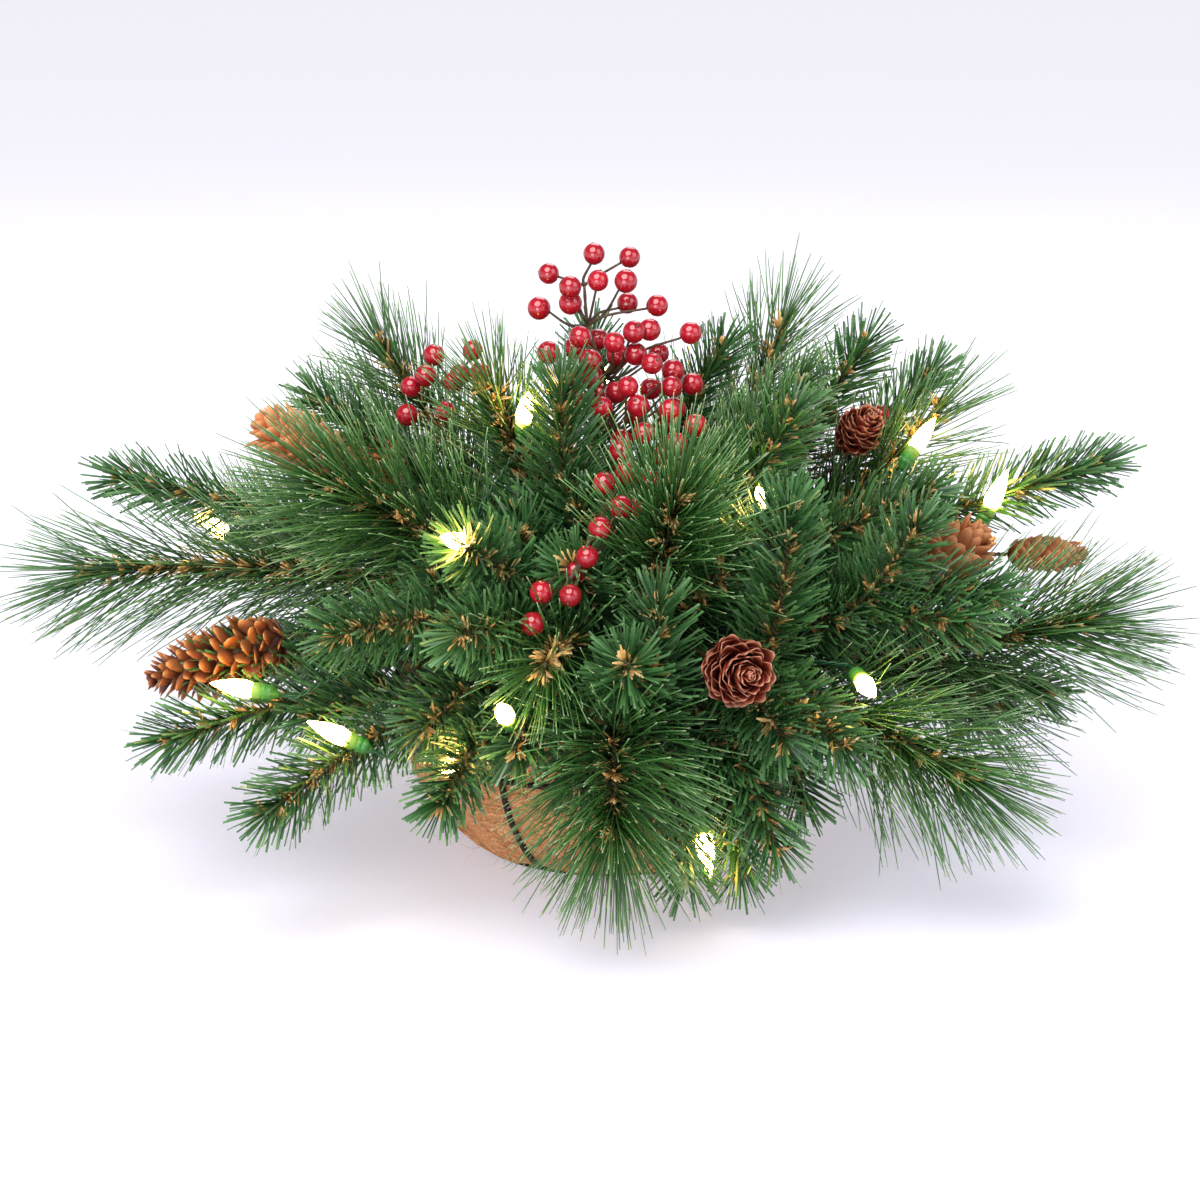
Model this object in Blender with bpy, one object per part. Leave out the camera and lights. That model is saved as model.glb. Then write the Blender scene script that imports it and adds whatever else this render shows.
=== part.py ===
"""A pre-lit mixed-pine arrangement for a tabletop, growing out of a coir-lined wire basket.

Metres, +Z up. The origin is the middle of the basket's underside, and the front faces -Y.
Azimuths are degrees in plan, counterclockwise from +X, so -90 is the front.
"""
import math

import bmesh
import bpy
from mathutils import Matrix, Vector

# Clearances
GAP = 0.0003  # between two faces that touch
SOCKET_CLEARANCE = 0.0004  # round a wire stem in the foam
SLIDE_CLEARANCE = 0.0003  # round the battery cover's tongues and the button

# Wire basket: a bowl of round wire, on the surface of a sphere
BOWL_RADIUS = 0.1095  # to the middle of the wire
BOWL_CENTRE_HEIGHT = 0.087
RIM_HEIGHT = 0.088
HOOP_HEIGHT = 0.060
WIRE_RADIUS = 0.0017
RIM_WIRE_RADIUS = 0.0022
RIB_COUNT = 6
FIRST_RIB_AZIMUTH = -120

# Coir liner
LINER_WALL = 0.008
LINER_ABOVE_RIM = 0.002
TURNED_SIDES = 30

# Foam block
FOAM_RISE = 0.050  # dome above the rim
STEM_DEPTH = 0.024  # of a stem in the foam

# Stems, branches and cones
STEM_RADIUS = 0.0018
PICK_RADIUS = 0.0013
LONG_ENVELOPE = 0.0115  # radius of the dense needles round a long-needle stem
SHORT_ENVELOPE = 0.0105
LONG_OVERRUN = 0.042  # of the needles past the stem's end
SHORT_OVERRUN = 0.010
BRANCH_SIDES = 6
BRANCH_STEPS = 8
CONE_SIDES = 8

# Berries
BERRY_RADIUS = 0.0058
TWIG_RADIUS = 0.0009
BERRY_SIDES = 6

# Light string
CORD_RADIUS = 0.0013
CORD_OFF_FOAM = 0.0025  # from the dome to the middle of the ring of wire
CORD_ELEVATION = 16
HOLDER_RADIUS = 0.0042
HOLDER_LENGTH = 0.010
CAP_RADIUS = 0.0046
CAP_LENGTH = 0.021

# Battery box, for two AA cells side by side
CELL_RADIUS = 0.0071
CELL_LENGTH = 0.0500
NUB_RADIUS = 0.0027
NUB_HEIGHT = 0.0012
CASE_WALL = 0.0016
CELL_CLEARANCE = 0.0005
CONTROL_LENGTH = 0.013  # the end of the case that holds the switch
COVER_THICKNESS = 0.0018
COVER_TRAVEL = 0.030
TONGUE = 0.0008
BUTTON_RADIUS = 0.0032
BUTTON_HEIGHT = 0.0030
BUTTON_TRAVEL = 0.0012
BOX_FROM_MIDDLE = 0.046  # in +Y, to the middle of the case
BOX_ABOVE_FOAM = 0.0045

# Finer shape of the pieces above
WELD = 1e-6
SHARP_ANGLE = math.radians(35)
WIRE_SIDES = 6
CAP_SIDES = 8
RIB_STEPS = 6
PROFILE_STEPS = 6
DOME_STEPS = 6
SOCKET_PAST_MOUTH = 0.010
POCKET_CLEARANCE = 0.0005
BEND_ABOVE_FOAM = 0.005  # where a stem leaves its straight run
BEND_GAP = 0.0010  # between the two halves of a stem that bends
LEAD_OUT = 0.36  # how far a stem keeps its first direction, as a share of the way to its end
BARE_SHARE = 0.16  # of a branch's length that is bare wire
RISE_SHARE = 0.15
FALL_SHARE = 0.28
BLUNT = 0.35
CONE_NECK = 0.008
CONE_PICK_STEPS = 5
CORD_BENDS = 5
LEAD_LIFT = 25
LEAD_STRAIGHT = 0.012
HOLDER_TAPER = 0.002
LEAD_RING_AZIMUTH = 58
LEAD_RISE = 70  # elevation in which the battery lead leaves the ring
LEAD_BEND = 0.012
LEAD_INSIDE = 0.0026
LEAD_BELOW_TOP = 0.0045
FLANGE = 0.0008
BUTTON_PROUD = 0.0004  # above the deck when pressed
PIN_SIDES = 16
FOAM_GREEN = (0.02, 0.09, 0.03)

# Outlines along an axis, as share of the length and share of the largest radius
CONE_OUTLINE = [(0.0, 0.25), (0.08, 0.72), (0.3, 1.0), (0.6, 0.86), (0.85, 0.5), (1.0, 0.16)]
CAP_OUTLINE = [(0.0, 0.85), (0.3, 1.0), (0.62, 0.72), (1.0, 0.1)]
# The same for a berry, as shares of its radius from its middle
BERRY_OUTLINE = [(-0.95, 0.3), (-0.4, 0.94), (0.4, 0.94), (0.98, 0.2)]

LONG = "long_needle"
SHORT = "short_needle"

# Branches: name, kind, root azimuth and elevation seen from the middle of the rim,
# then the stem's end as azimuth, reach from the centre line and height.
BRANCHES = [
    ("long_branch_left", LONG, -176, 26, -176, 0.268, 0.148),
    ("long_branch_upper_left", LONG, -160, 44, -157, 0.154, 0.205),
    ("long_branch_top_left", LONG, 150, 50, 154, 0.135, 0.252),
    ("long_branch_tall_left", LONG, 178, 68, -161, 0.062, 0.245),
    ("long_branch_front_middle", LONG, -72, 40, -74, 0.116, 0.208),
    ("long_branch_top_right", LONG, 30, 54, 40, 0.124, 0.262),
    ("long_branch_upper_right", LONG, 12, 30, 10, 0.175, 0.223),
    ("long_branch_tall_right", LONG, -20, 62, 0, 0.098, 0.242),
    ("long_branch_right", LONG, -12, 7, -14, 0.248, 0.134),
    ("long_branch_low_right", LONG, -38, 5, -37, 0.217, 0.074),
    ("long_branch_low_front", LONG, -89, 5, -89, 0.180, 0.062),
    ("long_branch_front_left", LONG, -102, 26, -102, 0.150, 0.134),
    ("short_branch_upper_left", SHORT, 170, 30, 173, 0.259, 0.186),
    ("short_branch_low_left", SHORT, -156, 5, -155, 0.239, 0.084),
    ("short_branch_low_front_left", SHORT, -134, 5, -135, 0.228, 0.067),
    ("short_branch_left_middle", SHORT, -136, 28, -137, 0.178, 0.143),
    ("short_branch_centre", SHORT, -120, 62, -120, 0.046, 0.250),
    ("short_branch_front_low", SHORT, -117, 5, -115, 0.185, 0.074),
    ("short_branch_front_right", SHORT, -46, 36, -50, 0.131, 0.198),
    ("short_branch_right_middle", SHORT, -22, 38, -21, 0.170, 0.200),
    ("short_branch_right", SHORT, -1, 30, 4, 0.258, 0.197),
    ("short_branch_low_front_right", SHORT, -62, 5, -62, 0.170, 0.045),
    ("short_branch_back_left", SHORT, 120, 6, 121, 0.235, 0.085),
    ("long_branch_back", LONG, 84, 6, 83, 0.210, 0.070),
    ("long_branch_back_left", LONG, 146, 8, 147, 0.225, 0.130),
    ("long_branch_back_right", LONG, 42, 8, 46, 0.225, 0.120),
]

# The branches whose wire bends at the foam: name and the half range of the bend, in degrees.
BENDING = {
    "long_branch_left": 6,
    "long_branch_right": 6,
    "long_branch_low_right": 6,
}

# Cones: name, root azimuth and elevation, the base's azimuth, reach and height,
# the azimuth and elevation that the tip points in, length and largest diameter.
CONES = [
    ("cone_front", -66, 24, -66, 0.138, 0.128, -78, 12, 0.046, 0.039),
    ("cone_left", -171, 8, -162, 0.172, 0.122, -172, -16, 0.070, 0.034),
    ("cone_upper_left", 180, 46, -180, 0.140, 0.203, 178, 26, 0.044, 0.034),
    ("cone_inner_left", 166, 40, 160, 0.109, 0.187, 180, 10, 0.044, 0.034),
    ("cone_top_right", -6, 74, 10, 0.126, 0.206, -60, 40, 0.030, 0.027),
    ("cone_right", -12, 34, -12, 0.162, 0.146, -6, 42, 0.042, 0.036),
    ("cone_far_right", 16, 23, 6, 0.212, 0.147, 2, 0, 0.041, 0.022),
    ("cone_back", 98, 8, 98, 0.150, 0.135, 96, 14, 0.046, 0.036),
]

# LED lamps: name, the azimuth at which their lead leaves the ring of wire, the middle of the
# holder's back as azimuth, reach and height, and the azimuth and elevation of the cap.
LAMPS = [
    ("led_cap_left", -147, -150, 0.190, 0.106, 174, 8),
    ("led_cap_low_left", -124, -130, 0.180, 0.092, -170, 28),
    ("led_cap_front", -108, -107, 0.158, 0.108, -100, 34),
    ("led_cap_low_front", -76, -72, 0.142, 0.058, -66, -66),
    ("led_cap_front_right", -50, -44, 0.166, 0.122, -78, -4),
    ("led_cap_right", -4, -2, 0.192, 0.170, 0, 66),
    ("led_cap_upper_front", -34, -41, 0.106, 0.189, -110, 40),
    ("led_cap_upper_right", -15, 0, 0.152, 0.200, 40, 44),
    ("led_cap_upper_left", -124, -121, 0.126, 0.184, -118, 20),
    ("led_cap_back", 66, 68, 0.180, 0.135, 70, 20),
]

# Berries: the stem's root azimuth and elevation, points along the stem, then the berries,
# all in millimetres as x, y, z.
SPRAYS = {
    "berry_spray_top": (
        (80, 84),
        [(2, 2, 175), (3, 0, 210), (-2, 2, 245), (-10, 2, 272), (-12, 4, 292)],
        [
            (-7, 4, 308), (-5, -6, 296), (11, 6, 306), (9, -8, 296), (-30, 4, 298),
            (-19, -8, 293), (-35, 6, 280), (10, 10, 282), (25, 2, 282), (21, -12, 272),
            (42, 2, 268), (14, -14, 260), (-5, 12, 263), (-30, -10, 260), (-17, 14, 258),
            (5, 4, 256), (26, 10, 256), (33, -6, 250), (-20, -6, 247), (-8, -14, 248),
            (4, -12, 240), (22, 8, 238), (43, 0, 242), (34, -14, 232), (-3, 14, 234),
            (15, 4, 224), (31, 10, 220), (7, -16, 216), (28, -16, 208),
        ],
    ),
    "berry_spray_front": (
        (-98, 72),
        [(-2, -46, 190), (4, -68, 202), (-2, -88, 196), (-12, -106, 178), (-22, -116, 164)],
        [
            (9, -74, 212), (20, -66, 206), (-2, -88, 210), (6, -96, 200), (-4, -106, 192),
            (-10, -114, 180), (-32, -120, 164), (-18, -126, 164), (-36, -126, 150),
        ],
    ),
    "berry_spray_left": (
        (128, 64),
        [(-46, 34, 175), (-68, 32, 215), (-80, 26, 232)],
        [
            (-104, 20, 222), (-102, 24, 236), (-94, 18, 243), (-90, 28, 252), (-76, 16, 244),
            (-80, 26, 238), (-70, 30, 254), (-66, 18, 244), (-84, 14, 225),
        ],
    ),
    "berry_spray_right": (
        (10, 58),
        [(58, 12, 158), (100, 32, 184), (126, 48, 202)],
        [(144, 50, 216), (140, 56, 206), (118, 54, 214)],
    ),
}

foam_radius = BOWL_RADIUS - WIRE_RADIUS - LINER_WALL - 2 * GAP
rib_heights = [
    WIRE_RADIUS + (RIM_HEIGHT - WIRE_RADIUS) * step / RIB_STEPS for step in range(RIB_STEPS + 1)
]


# Materials

def plain_material(name, colour, roughness=0.6, metallic=0.0):
    """A Principled material, made once for each name."""
    if name in bpy.data.materials:
        return bpy.data.materials[name]
    made = bpy.data.materials.new(name)
    made.use_nodes = True
    shader = made.node_tree.nodes["Principled BSDF"]
    shader.inputs["Base Color"].default_value = (*colour, 1)
    shader.inputs["Roughness"].default_value = roughness
    shader.inputs["Metallic"].default_value = metallic
    return made


# Helpers

def along(azimuth, elevation):
    """The unit vector in this direction, both angles in degrees."""
    a, e = math.radians(azimuth), math.radians(elevation)
    return Vector((math.cos(a) * math.cos(e), math.sin(a) * math.cos(e), math.sin(e)))


def at_reach(azimuth, reach, height):
    return along(azimuth, 0) * reach + Vector((0, 0, height))


def bowl_radius_at(height, off=0.0):
    """The radius of the bowl's sphere at a height, off metres outside the wire's middle."""
    return math.sqrt((BOWL_RADIUS + off) ** 2 - (height - BOWL_CENTRE_HEIGHT) ** 2)


def dome_point(azimuth, elevation, off=0.0):
    """Where a ray from the middle of the rim leaves the foam's dome, and off metres beyond."""
    ray = along(azimuth, elevation)
    flat = math.hypot(ray.x, ray.y) / foam_radius
    reach = 1 / math.hypot(flat, ray.z / FOAM_RISE)
    return Vector((0, 0, RIM_HEIGHT)) + ray * (reach + off)


def link(name, data, material):
    thing = bpy.data.objects.new(name, data)
    bpy.context.scene.collection.objects.link(thing)
    if not data.materials:
        data.materials.append(material)
    return thing


def tube(name, points, radii, sides, material, closed=False):
    """A round solid along these points, with a radius at each."""
    curve = bpy.data.curves.new(name, "CURVE")
    curve.dimensions = "3D"
    curve.bevel_depth = 1.0
    curve.bevel_resolution = sides // 2 - 2
    curve.use_fill_caps = not closed
    spline = curve.splines.new("POLY")
    spline.points.add(len(points) - 1)
    for place, point, radius in zip(spline.points, points, radii):
        place.co = (*point, 1)
        place.radius = radius
    spline.use_cyclic_u = closed
    spline.use_smooth = True
    return link(name, curve, material)


def as_mesh(thing):
    """The same object as a closed mesh, for use in a Boolean."""
    name, material = thing.name, thing.data.materials[0]
    mesh = bpy.data.meshes.new_from_object(thing)
    bpy.data.objects.remove(thing)
    weld(mesh)
    solid = link(name, mesh, material)
    solid.name = name
    return solid


def weld(mesh):
    shape = bmesh.new()
    shape.from_mesh(mesh)
    bmesh.ops.remove_doubles(shape, verts=shape.verts, dist=WELD)
    bmesh.ops.recalc_face_normals(shape, faces=shape.faces)
    shape.to_mesh(mesh)
    shape.free()
    mesh.shade_smooth()
    mesh.set_sharp_from_angle(angle=SHARP_ANGLE)


def turned(name, profile, sides, material):
    """A solid of revolution about Z, from (radius, height) points that start and end on the axis."""
    shape = bmesh.new()
    verts = [shape.verts.new((radius, 0, height)) for radius, height in profile]
    edges = [shape.edges.new(pair) for pair in zip(verts, verts[1:])]
    bmesh.ops.spin(
        shape, geom=verts + edges, cent=(0, 0, 0), axis=(0, 0, 1), steps=sides, angle=math.tau
    )
    mesh = bpy.data.meshes.new(name)
    shape.to_mesh(mesh)
    shape.free()
    weld(mesh)
    return link(name, mesh, material)


def block(name, low, high, material):
    """A box between two corners."""
    shape = bmesh.new()
    bmesh.ops.create_cube(shape, size=1)
    low, high = Vector(low), Vector(high)
    bmesh.ops.scale(shape, vec=high - low, verts=shape.verts)
    bmesh.ops.translate(shape, vec=(low + high) / 2, verts=shape.verts)
    mesh = bpy.data.meshes.new(name)
    shape.to_mesh(mesh)
    shape.free()
    return link(name, mesh, material)


def combine(target, operation, tools):
    """Cuts the tools from the target or adds them to it, keeping them as hidden guides."""
    group = bpy.data.collections.new(target.name + "_" + operation.lower())
    bpy.context.scene.collection.children.link(group)
    group.hide_render = True
    for tool in tools:
        bpy.context.scene.collection.objects.unlink(tool)
        group.objects.link(tool)
        tool.hide_render = True
        tool.display_type = "WIRE"
    step = target.modifiers.new(operation.title(), "BOOLEAN")
    step.operation = operation
    step.operand_type = "COLLECTION"
    step.collection = group
    step.solver = "EXACT"


def ride_on_joint(thing, pivot):
    """Parents the object to an empty on its joint's axis, without moving it."""
    hinge = bpy.data.objects.new(thing.name + "_joint", None)
    bpy.context.scene.collection.objects.link(hinge)
    hinge.location = pivot
    thing.parent = hinge
    thing.matrix_parent_inverse = Matrix.Translation(-Vector(pivot))


# Basket, liner and foam

def wire_ring(name, height, wire_radius, material):
    radius = bowl_radius_at(height, wire_radius - WIRE_RADIUS)
    points = [at_reach(360 * step / TURNED_SIDES, radius, height) for step in range(TURNED_SIDES)]
    radii = [wire_radius] * TURNED_SIDES
    return as_mesh(tube(name, points, radii, WIRE_SIDES, material, closed=True))


def rib(index, material):
    """One upright wire, from the middle of the foot ring to the middle of the rim."""
    azimuth = FIRST_RIB_AZIMUTH + index * 360 / RIB_COUNT
    points = [at_reach(azimuth, bowl_radius_at(height), height) for height in rib_heights]
    radii = [WIRE_RADIUS] * len(points)
    return as_mesh(tube(f"rib_{index}", points, radii, WIRE_SIDES, material))


def make_basket():
    material = plain_material("basket_wire", (0.03, 0.018, 0.012), 0.45, 0.9)
    basket = wire_ring("wire_basket", RIM_HEIGHT, RIM_WIRE_RADIUS, material)
    pieces = [
        wire_ring("hoop", HOOP_HEIGHT, WIRE_RADIUS, material),
        wire_ring("foot_ring", WIRE_RADIUS, WIRE_RADIUS, material),
    ]
    pieces += [rib(index, material) for index in range(RIB_COUNT)]
    combine(basket, "UNION", pieces)


def bowl_profile(off, bottom, top):
    """Points up the bowl's sphere, off metres from the wire's middle, from bottom to top."""
    rise = (top - bottom) / PROFILE_STEPS
    heights = [bottom + rise * step for step in range(PROFILE_STEPS + 1)]
    return [(bowl_radius_at(height, off), height) for height in heights]


def make_liner():
    material = plain_material("coir", (0.42, 0.22, 0.09), 0.95)
    outside = -WIRE_RADIUS - GAP
    top = RIM_HEIGHT + LINER_ABOVE_RIM
    outer = bowl_profile(outside, 0, top)
    inner = bowl_profile(outside - LINER_WALL, LINER_WALL, top)
    profile = [(0, 0)] + outer + inner[::-1] + [(0, LINER_WALL)]
    turned("coir_liner", profile, TURNED_SIDES, material)


def socket(index, azimuth, elevation, radius):
    """The hole that a wire stem is pushed into."""
    mouth = dome_point(azimuth, elevation)
    ray = along(azimuth, elevation)
    wide = (radius + SOCKET_CLEARANCE) / math.cos(math.pi / BRANCH_SIDES)
    ends = [mouth + ray * SOCKET_PAST_MOUTH, mouth - ray * (STEM_DEPTH + SOCKET_CLEARANCE)]
    material = plain_material("foam", FOAM_GREEN)
    return as_mesh(tube(f"socket_{index}", ends, [wide, wide], BRANCH_SIDES, material))


def all_roots():
    """Every stem in the foam, as azimuth, elevation and radius."""
    roots = [(row[2], row[3], STEM_RADIUS) for row in BRANCHES]
    roots += [(row[1], row[2], PICK_RADIUS) for row in CONES]
    roots += [(*root, PICK_RADIUS) for root, stem, berries in SPRAYS.values()]
    return roots


def make_foam():
    bottom = LINER_WALL + GAP
    side = bowl_profile(-WIRE_RADIUS - LINER_WALL - 2 * GAP, bottom, RIM_HEIGHT)
    dome = [
        (foam_radius * math.cos(turn), RIM_HEIGHT + FOAM_RISE * math.sin(turn))
        for turn in (math.pi / 2 * step / DOME_STEPS for step in range(1, DOME_STEPS))
    ]
    profile = [(0, bottom)] + side + dome + [(0, RIM_HEIGHT + FOAM_RISE)]
    foam = turned("foam_block", profile, TURNED_SIDES, plain_material("foam", FOAM_GREEN, 0.9))
    cutters = [socket(index, *root) for index, root in enumerate(all_roots())]
    low, high = case_corners()
    room = Vector((POCKET_CLEARANCE, POCKET_CLEARANCE, GAP))
    above = Vector((0, 0, FOAM_RISE))
    cutters.append(block("case_pocket", low - room, high + room + above, foam.data.materials[0]))
    combine(foam, "DIFFERENCE", cutters)


# Stems

def smooth_path(start, ray, end, steps):
    """Points on a curve that leaves start along ray and ends at end."""
    handle = start + ray * (end - start).length * LEAD_OUT
    points = []
    for step in range(1, steps + 1):
        t = step / steps
        points.append(start * (1 - t) ** 2 + handle * (2 * t * (1 - t)) + end * t**2)
    return points


def branch_radius(share, envelope):
    """Bare wire at the root, then the dense needles, then their blunt end."""
    if share < BARE_SHARE:
        return STEM_RADIUS
    rise = min((share - BARE_SHARE) / RISE_SHARE, 1)
    fall = min((1 - share) / FALL_SHARE, 1)
    return STEM_RADIUS + (envelope - STEM_RADIUS) * min(rise, BLUNT + (1 - BLUNT) * fall)


def make_branch(name, kind, root_azimuth, root_elevation, azimuth, reach, height):
    envelope, overrun, colour = {
        LONG: (LONG_ENVELOPE, LONG_OVERRUN, (0.03, 0.14, 0.06)),
        SHORT: (SHORT_ENVELOPE, SHORT_OVERRUN, (0.035, 0.17, 0.07)),
    }[kind]
    material = plain_material(kind, colour)
    ray = along(root_azimuth, root_elevation)
    mouth = dome_point(root_azimuth, root_elevation)
    bend = mouth + ray * BEND_ABOVE_FOAM
    end = at_reach(azimuth, reach, height)
    if name in BENDING:
        half_gap = ray * BEND_GAP / 2
        stub_ends = [mouth - ray * STEM_DEPTH, bend - half_gap]
        tube(name + "_stem_root", stub_ends, [STEM_RADIUS] * 2, BRANCH_SIDES, material)
        points, start = [], bend + half_gap
    else:
        points, start = [mouth - ray * STEM_DEPTH], bend
    points.append(start)
    points += smooth_path(start, ray, end, BRANCH_STEPS)
    last = (points[-1] - points[-2]).normalized()
    points += [end + last * overrun / 2, end + last * overrun]
    first = 0 if name in BENDING else 1
    run = len(points) - 1 - first
    radii = [branch_radius((index - first) / run, envelope) for index in range(len(points))]
    branch = tube(name, points, radii, BRANCH_SIDES, material)
    if name in BENDING:
        ride_on_joint(branch, bend)


def make_cone(name, root_azimuth, root_elevation, azimuth, reach, height, turn, lift, *size):
    """A cone on its wire pick: the pick's path, then the cone's outline along a straight axis."""
    length, width = size
    ray = along(root_azimuth, root_elevation)
    mouth = dome_point(root_azimuth, root_elevation)
    base = at_reach(azimuth, reach, height)
    axis = along(turn, lift)
    start = mouth + ray * BEND_ABOVE_FOAM
    points = [mouth - ray * STEM_DEPTH, start]
    points += smooth_path(start, ray, base - axis * CONE_NECK, CONE_PICK_STEPS)
    radii = [PICK_RADIUS] * len(points)
    for along_axis, share in CONE_OUTLINE:
        points.append(base + axis * length * along_axis)
        radii.append(width / 2 * share)
    tube(name, points, radii, CONE_SIDES, plain_material("cone_scale", (0.20, 0.07, 0.03), 0.6))


# Berries

def millimetres(point):
    return Vector(point) / 1000


def nearest_on(points, place):
    """The point of a stem that a twig to this place grows from: the closest one below it."""
    below = [point for point in points if point.z < place.z - BERRY_RADIUS] or points[:1]
    return min(below, key=lambda point: (point - place).length)


def make_spray(name, root, stem, berries):
    red = plain_material("berry", (0.42, 0.01, 0.03), 0.2)
    mouth = dome_point(*root)
    ray = along(*root)
    path = [mouth - ray * STEM_DEPTH, mouth + ray * BEND_ABOVE_FOAM]
    path += [millimetres(point) for point in stem]
    spray = as_mesh(tube(name, path, [PICK_RADIUS] * len(path), BERRY_SIDES, red))
    twigs = []
    for index, berry in enumerate(berries):
        place = millimetres(berry)
        start = nearest_on(path[2:], place)
        way = (place - start).normalized()
        points, radii = [start], [TWIG_RADIUS]
        for along_axis, share in BERRY_OUTLINE:
            points.append(place + way * BERRY_RADIUS * along_axis)
            radii.append(max(BERRY_RADIUS * share, TWIG_RADIUS))
        twigs.append(as_mesh(tube(f"{name}_twig_{index}", points, radii, BERRY_SIDES, red)))
    combine(spray, "UNION", twigs)
    spray.modifiers[0].use_self = True


# Light string

def ring_point(azimuth):
    return dome_point(azimuth, CORD_ELEVATION, CORD_OFF_FOAM)


def lamp_lead(name, ring_azimuth, azimuth, reach, height, turn, lift, material):
    """A lamp's pair of wires from the ring, and the holder at their end."""
    back = at_reach(azimuth, reach, height)
    aim = along(turn, lift)
    start = ring_point(ring_azimuth)
    first_way = along(ring_azimuth, LEAD_LIFT)
    points = [start] + smooth_path(start, first_way, back - aim * LEAD_STRAIGHT, CORD_BENDS)
    points += [back - aim * HOLDER_TAPER, back, back + aim * HOLDER_LENGTH]
    radii = [CORD_RADIUS] * (len(points) - 2) + [HOLDER_RADIUS] * 2
    return as_mesh(tube(name + "_lead", points, radii, WIRE_SIDES, material))


def make_cap(name, ring_azimuth, azimuth, reach, height, turn, lift):
    aim = along(turn, lift)
    foot = at_reach(azimuth, reach, height) + aim * (HOLDER_LENGTH + GAP)
    points = [foot + aim * CAP_LENGTH * along_axis for along_axis, share in CAP_OUTLINE]
    radii = [CAP_RADIUS * share for along_axis, share in CAP_OUTLINE]
    tube(name, points, radii, CAP_SIDES, plain_material("lamp_cap", (0.95, 0.85, 0.55), 0.1))


def make_light_string():
    material = plain_material("cord", (0.01, 0.06, 0.02), 0.4)
    turns = [ring_point(360 * step / TURNED_SIDES) for step in range(TURNED_SIDES)]
    radii = [CORD_RADIUS] * TURNED_SIDES
    string = as_mesh(tube("light_string", turns, radii, WIRE_SIDES, material, closed=True))
    leads = [lamp_lead(*row, material) for row in LAMPS]
    leads.append(battery_lead(material))
    combine(string, "UNION", leads)


def battery_lead(material):
    """From the ring to the hole in the end of the battery case."""
    low, high = case_corners()
    hole = lead_hole(low, high)
    start = ring_point(LEAD_RING_AZIMUTH)
    points = [
        start,
        start + along(LEAD_RING_AZIMUTH, LEAD_RISE) * LEAD_BEND,
        hole + Vector((LEAD_BEND, 0, 0)),
        hole - Vector((LEAD_INSIDE, 0, 0)),
    ]
    return as_mesh(tube("battery_lead", points, [CORD_RADIUS] * 4, WIRE_SIDES, material))


# Battery box

bay_length = CELL_LENGTH + NUB_HEIGHT + 2 * CELL_CLEARANCE
bay_width = 4 * CELL_RADIUS + 3 * CELL_CLEARANCE
bay_depth = 2 * CELL_RADIUS + CELL_CLEARANCE
case_size = Vector((
    bay_length + 2 * CASE_WALL + CONTROL_LENGTH,
    bay_width + 2 * CASE_WALL,
    CASE_WALL + bay_depth + COVER_THICKNESS,
))


def case_corners():
    """The lowest and highest corner of the battery case, which sits in the dome's back."""
    dome_height = FOAM_RISE * math.sqrt(1 - (BOX_FROM_MIDDLE / foam_radius) ** 2)
    top = RIM_HEIGHT + dome_height + BOX_ABOVE_FOAM
    low = Vector((-case_size.x / 2, BOX_FROM_MIDDLE - case_size.y / 2, top - case_size.z))
    return low, low + case_size


def lead_hole(low, high):
    """The middle of the hole in the case's +X end."""
    return Vector((high.x, (low.y + high.y) / 2, high.z - LEAD_BELOW_TOP))


def make_battery_box():
    shell = plain_material("battery_plastic", (0.02, 0.02, 0.02), 0.5)
    low, high = case_corners()
    case = block("battery_case", low, high, shell)
    bay_low = low + Vector((CASE_WALL, CASE_WALL, CASE_WALL))
    bay_high = bay_low + Vector((bay_length, bay_width, bay_depth + COVER_THICKNESS + CASE_WALL))
    cover_z = bay_low.z + bay_depth
    way_low = Vector((bay_low.x, bay_low.y, cover_z - SLIDE_CLEARANCE))
    way_high = Vector((bay_high.x, high.y + CASE_WALL, bay_high.z))
    tongue_room = Vector((TONGUE + SLIDE_CLEARANCE, 0, 0))
    groove_high = Vector((way_high.x, way_high.y, cover_z + TONGUE + SLIDE_CLEARANCE))
    control_low = Vector((bay_high.x + CASE_WALL, bay_low.y, bay_low.z))
    control_high = Vector((high.x - CASE_WALL, bay_low.y + bay_width, high.z - CASE_WALL))
    deck = Vector(((control_low.x + control_high.x) / 2, (low.y + high.y) / 2, high.z))
    hole = lead_hole(low, high)
    cutters = [
        block("cell_bay", bay_low, bay_high, shell),
        block("cover_way", way_low, way_high, shell),
        block("cover_groove", way_low - tongue_room, groove_high + tongue_room, shell),
        block("control_room", control_low, control_high, shell),
        pin("button_hole", deck, (0, 0, 1), BUTTON_RADIUS + SLIDE_CLEARANCE, 3 * CASE_WALL, shell),
        pin("lead_hole", hole, (1, 0, 0), CORD_RADIUS + SLIDE_CLEARANCE, 3 * CASE_WALL, shell),
    ]
    combine(case, "DIFFERENCE", cutters)
    make_cover(bay_low, bay_high, cover_z, high)
    make_button(deck, high.z, control_high.z)
    for index, side in enumerate((-1, 1)):
        make_cell(f"aa_cell_{index + 1}", bay_low, bay_high, side)


def pin(name, centre, axis, radius, length, material):
    """A cylinder about an axis, half its length each side of its centre."""
    shape = bmesh.new()
    bmesh.ops.create_cone(
        shape, cap_ends=True, segments=PIN_SIDES, radius1=radius, radius2=radius, depth=length
    )
    turn = Vector(axis).to_track_quat("Z", "Y").to_matrix()
    bmesh.ops.rotate(shape, matrix=turn, verts=shape.verts)
    bmesh.ops.translate(shape, vec=centre, verts=shape.verts)
    mesh = bpy.data.meshes.new(name)
    shape.to_mesh(mesh)
    shape.free()
    weld(mesh)
    return link(name, mesh, material)


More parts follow.
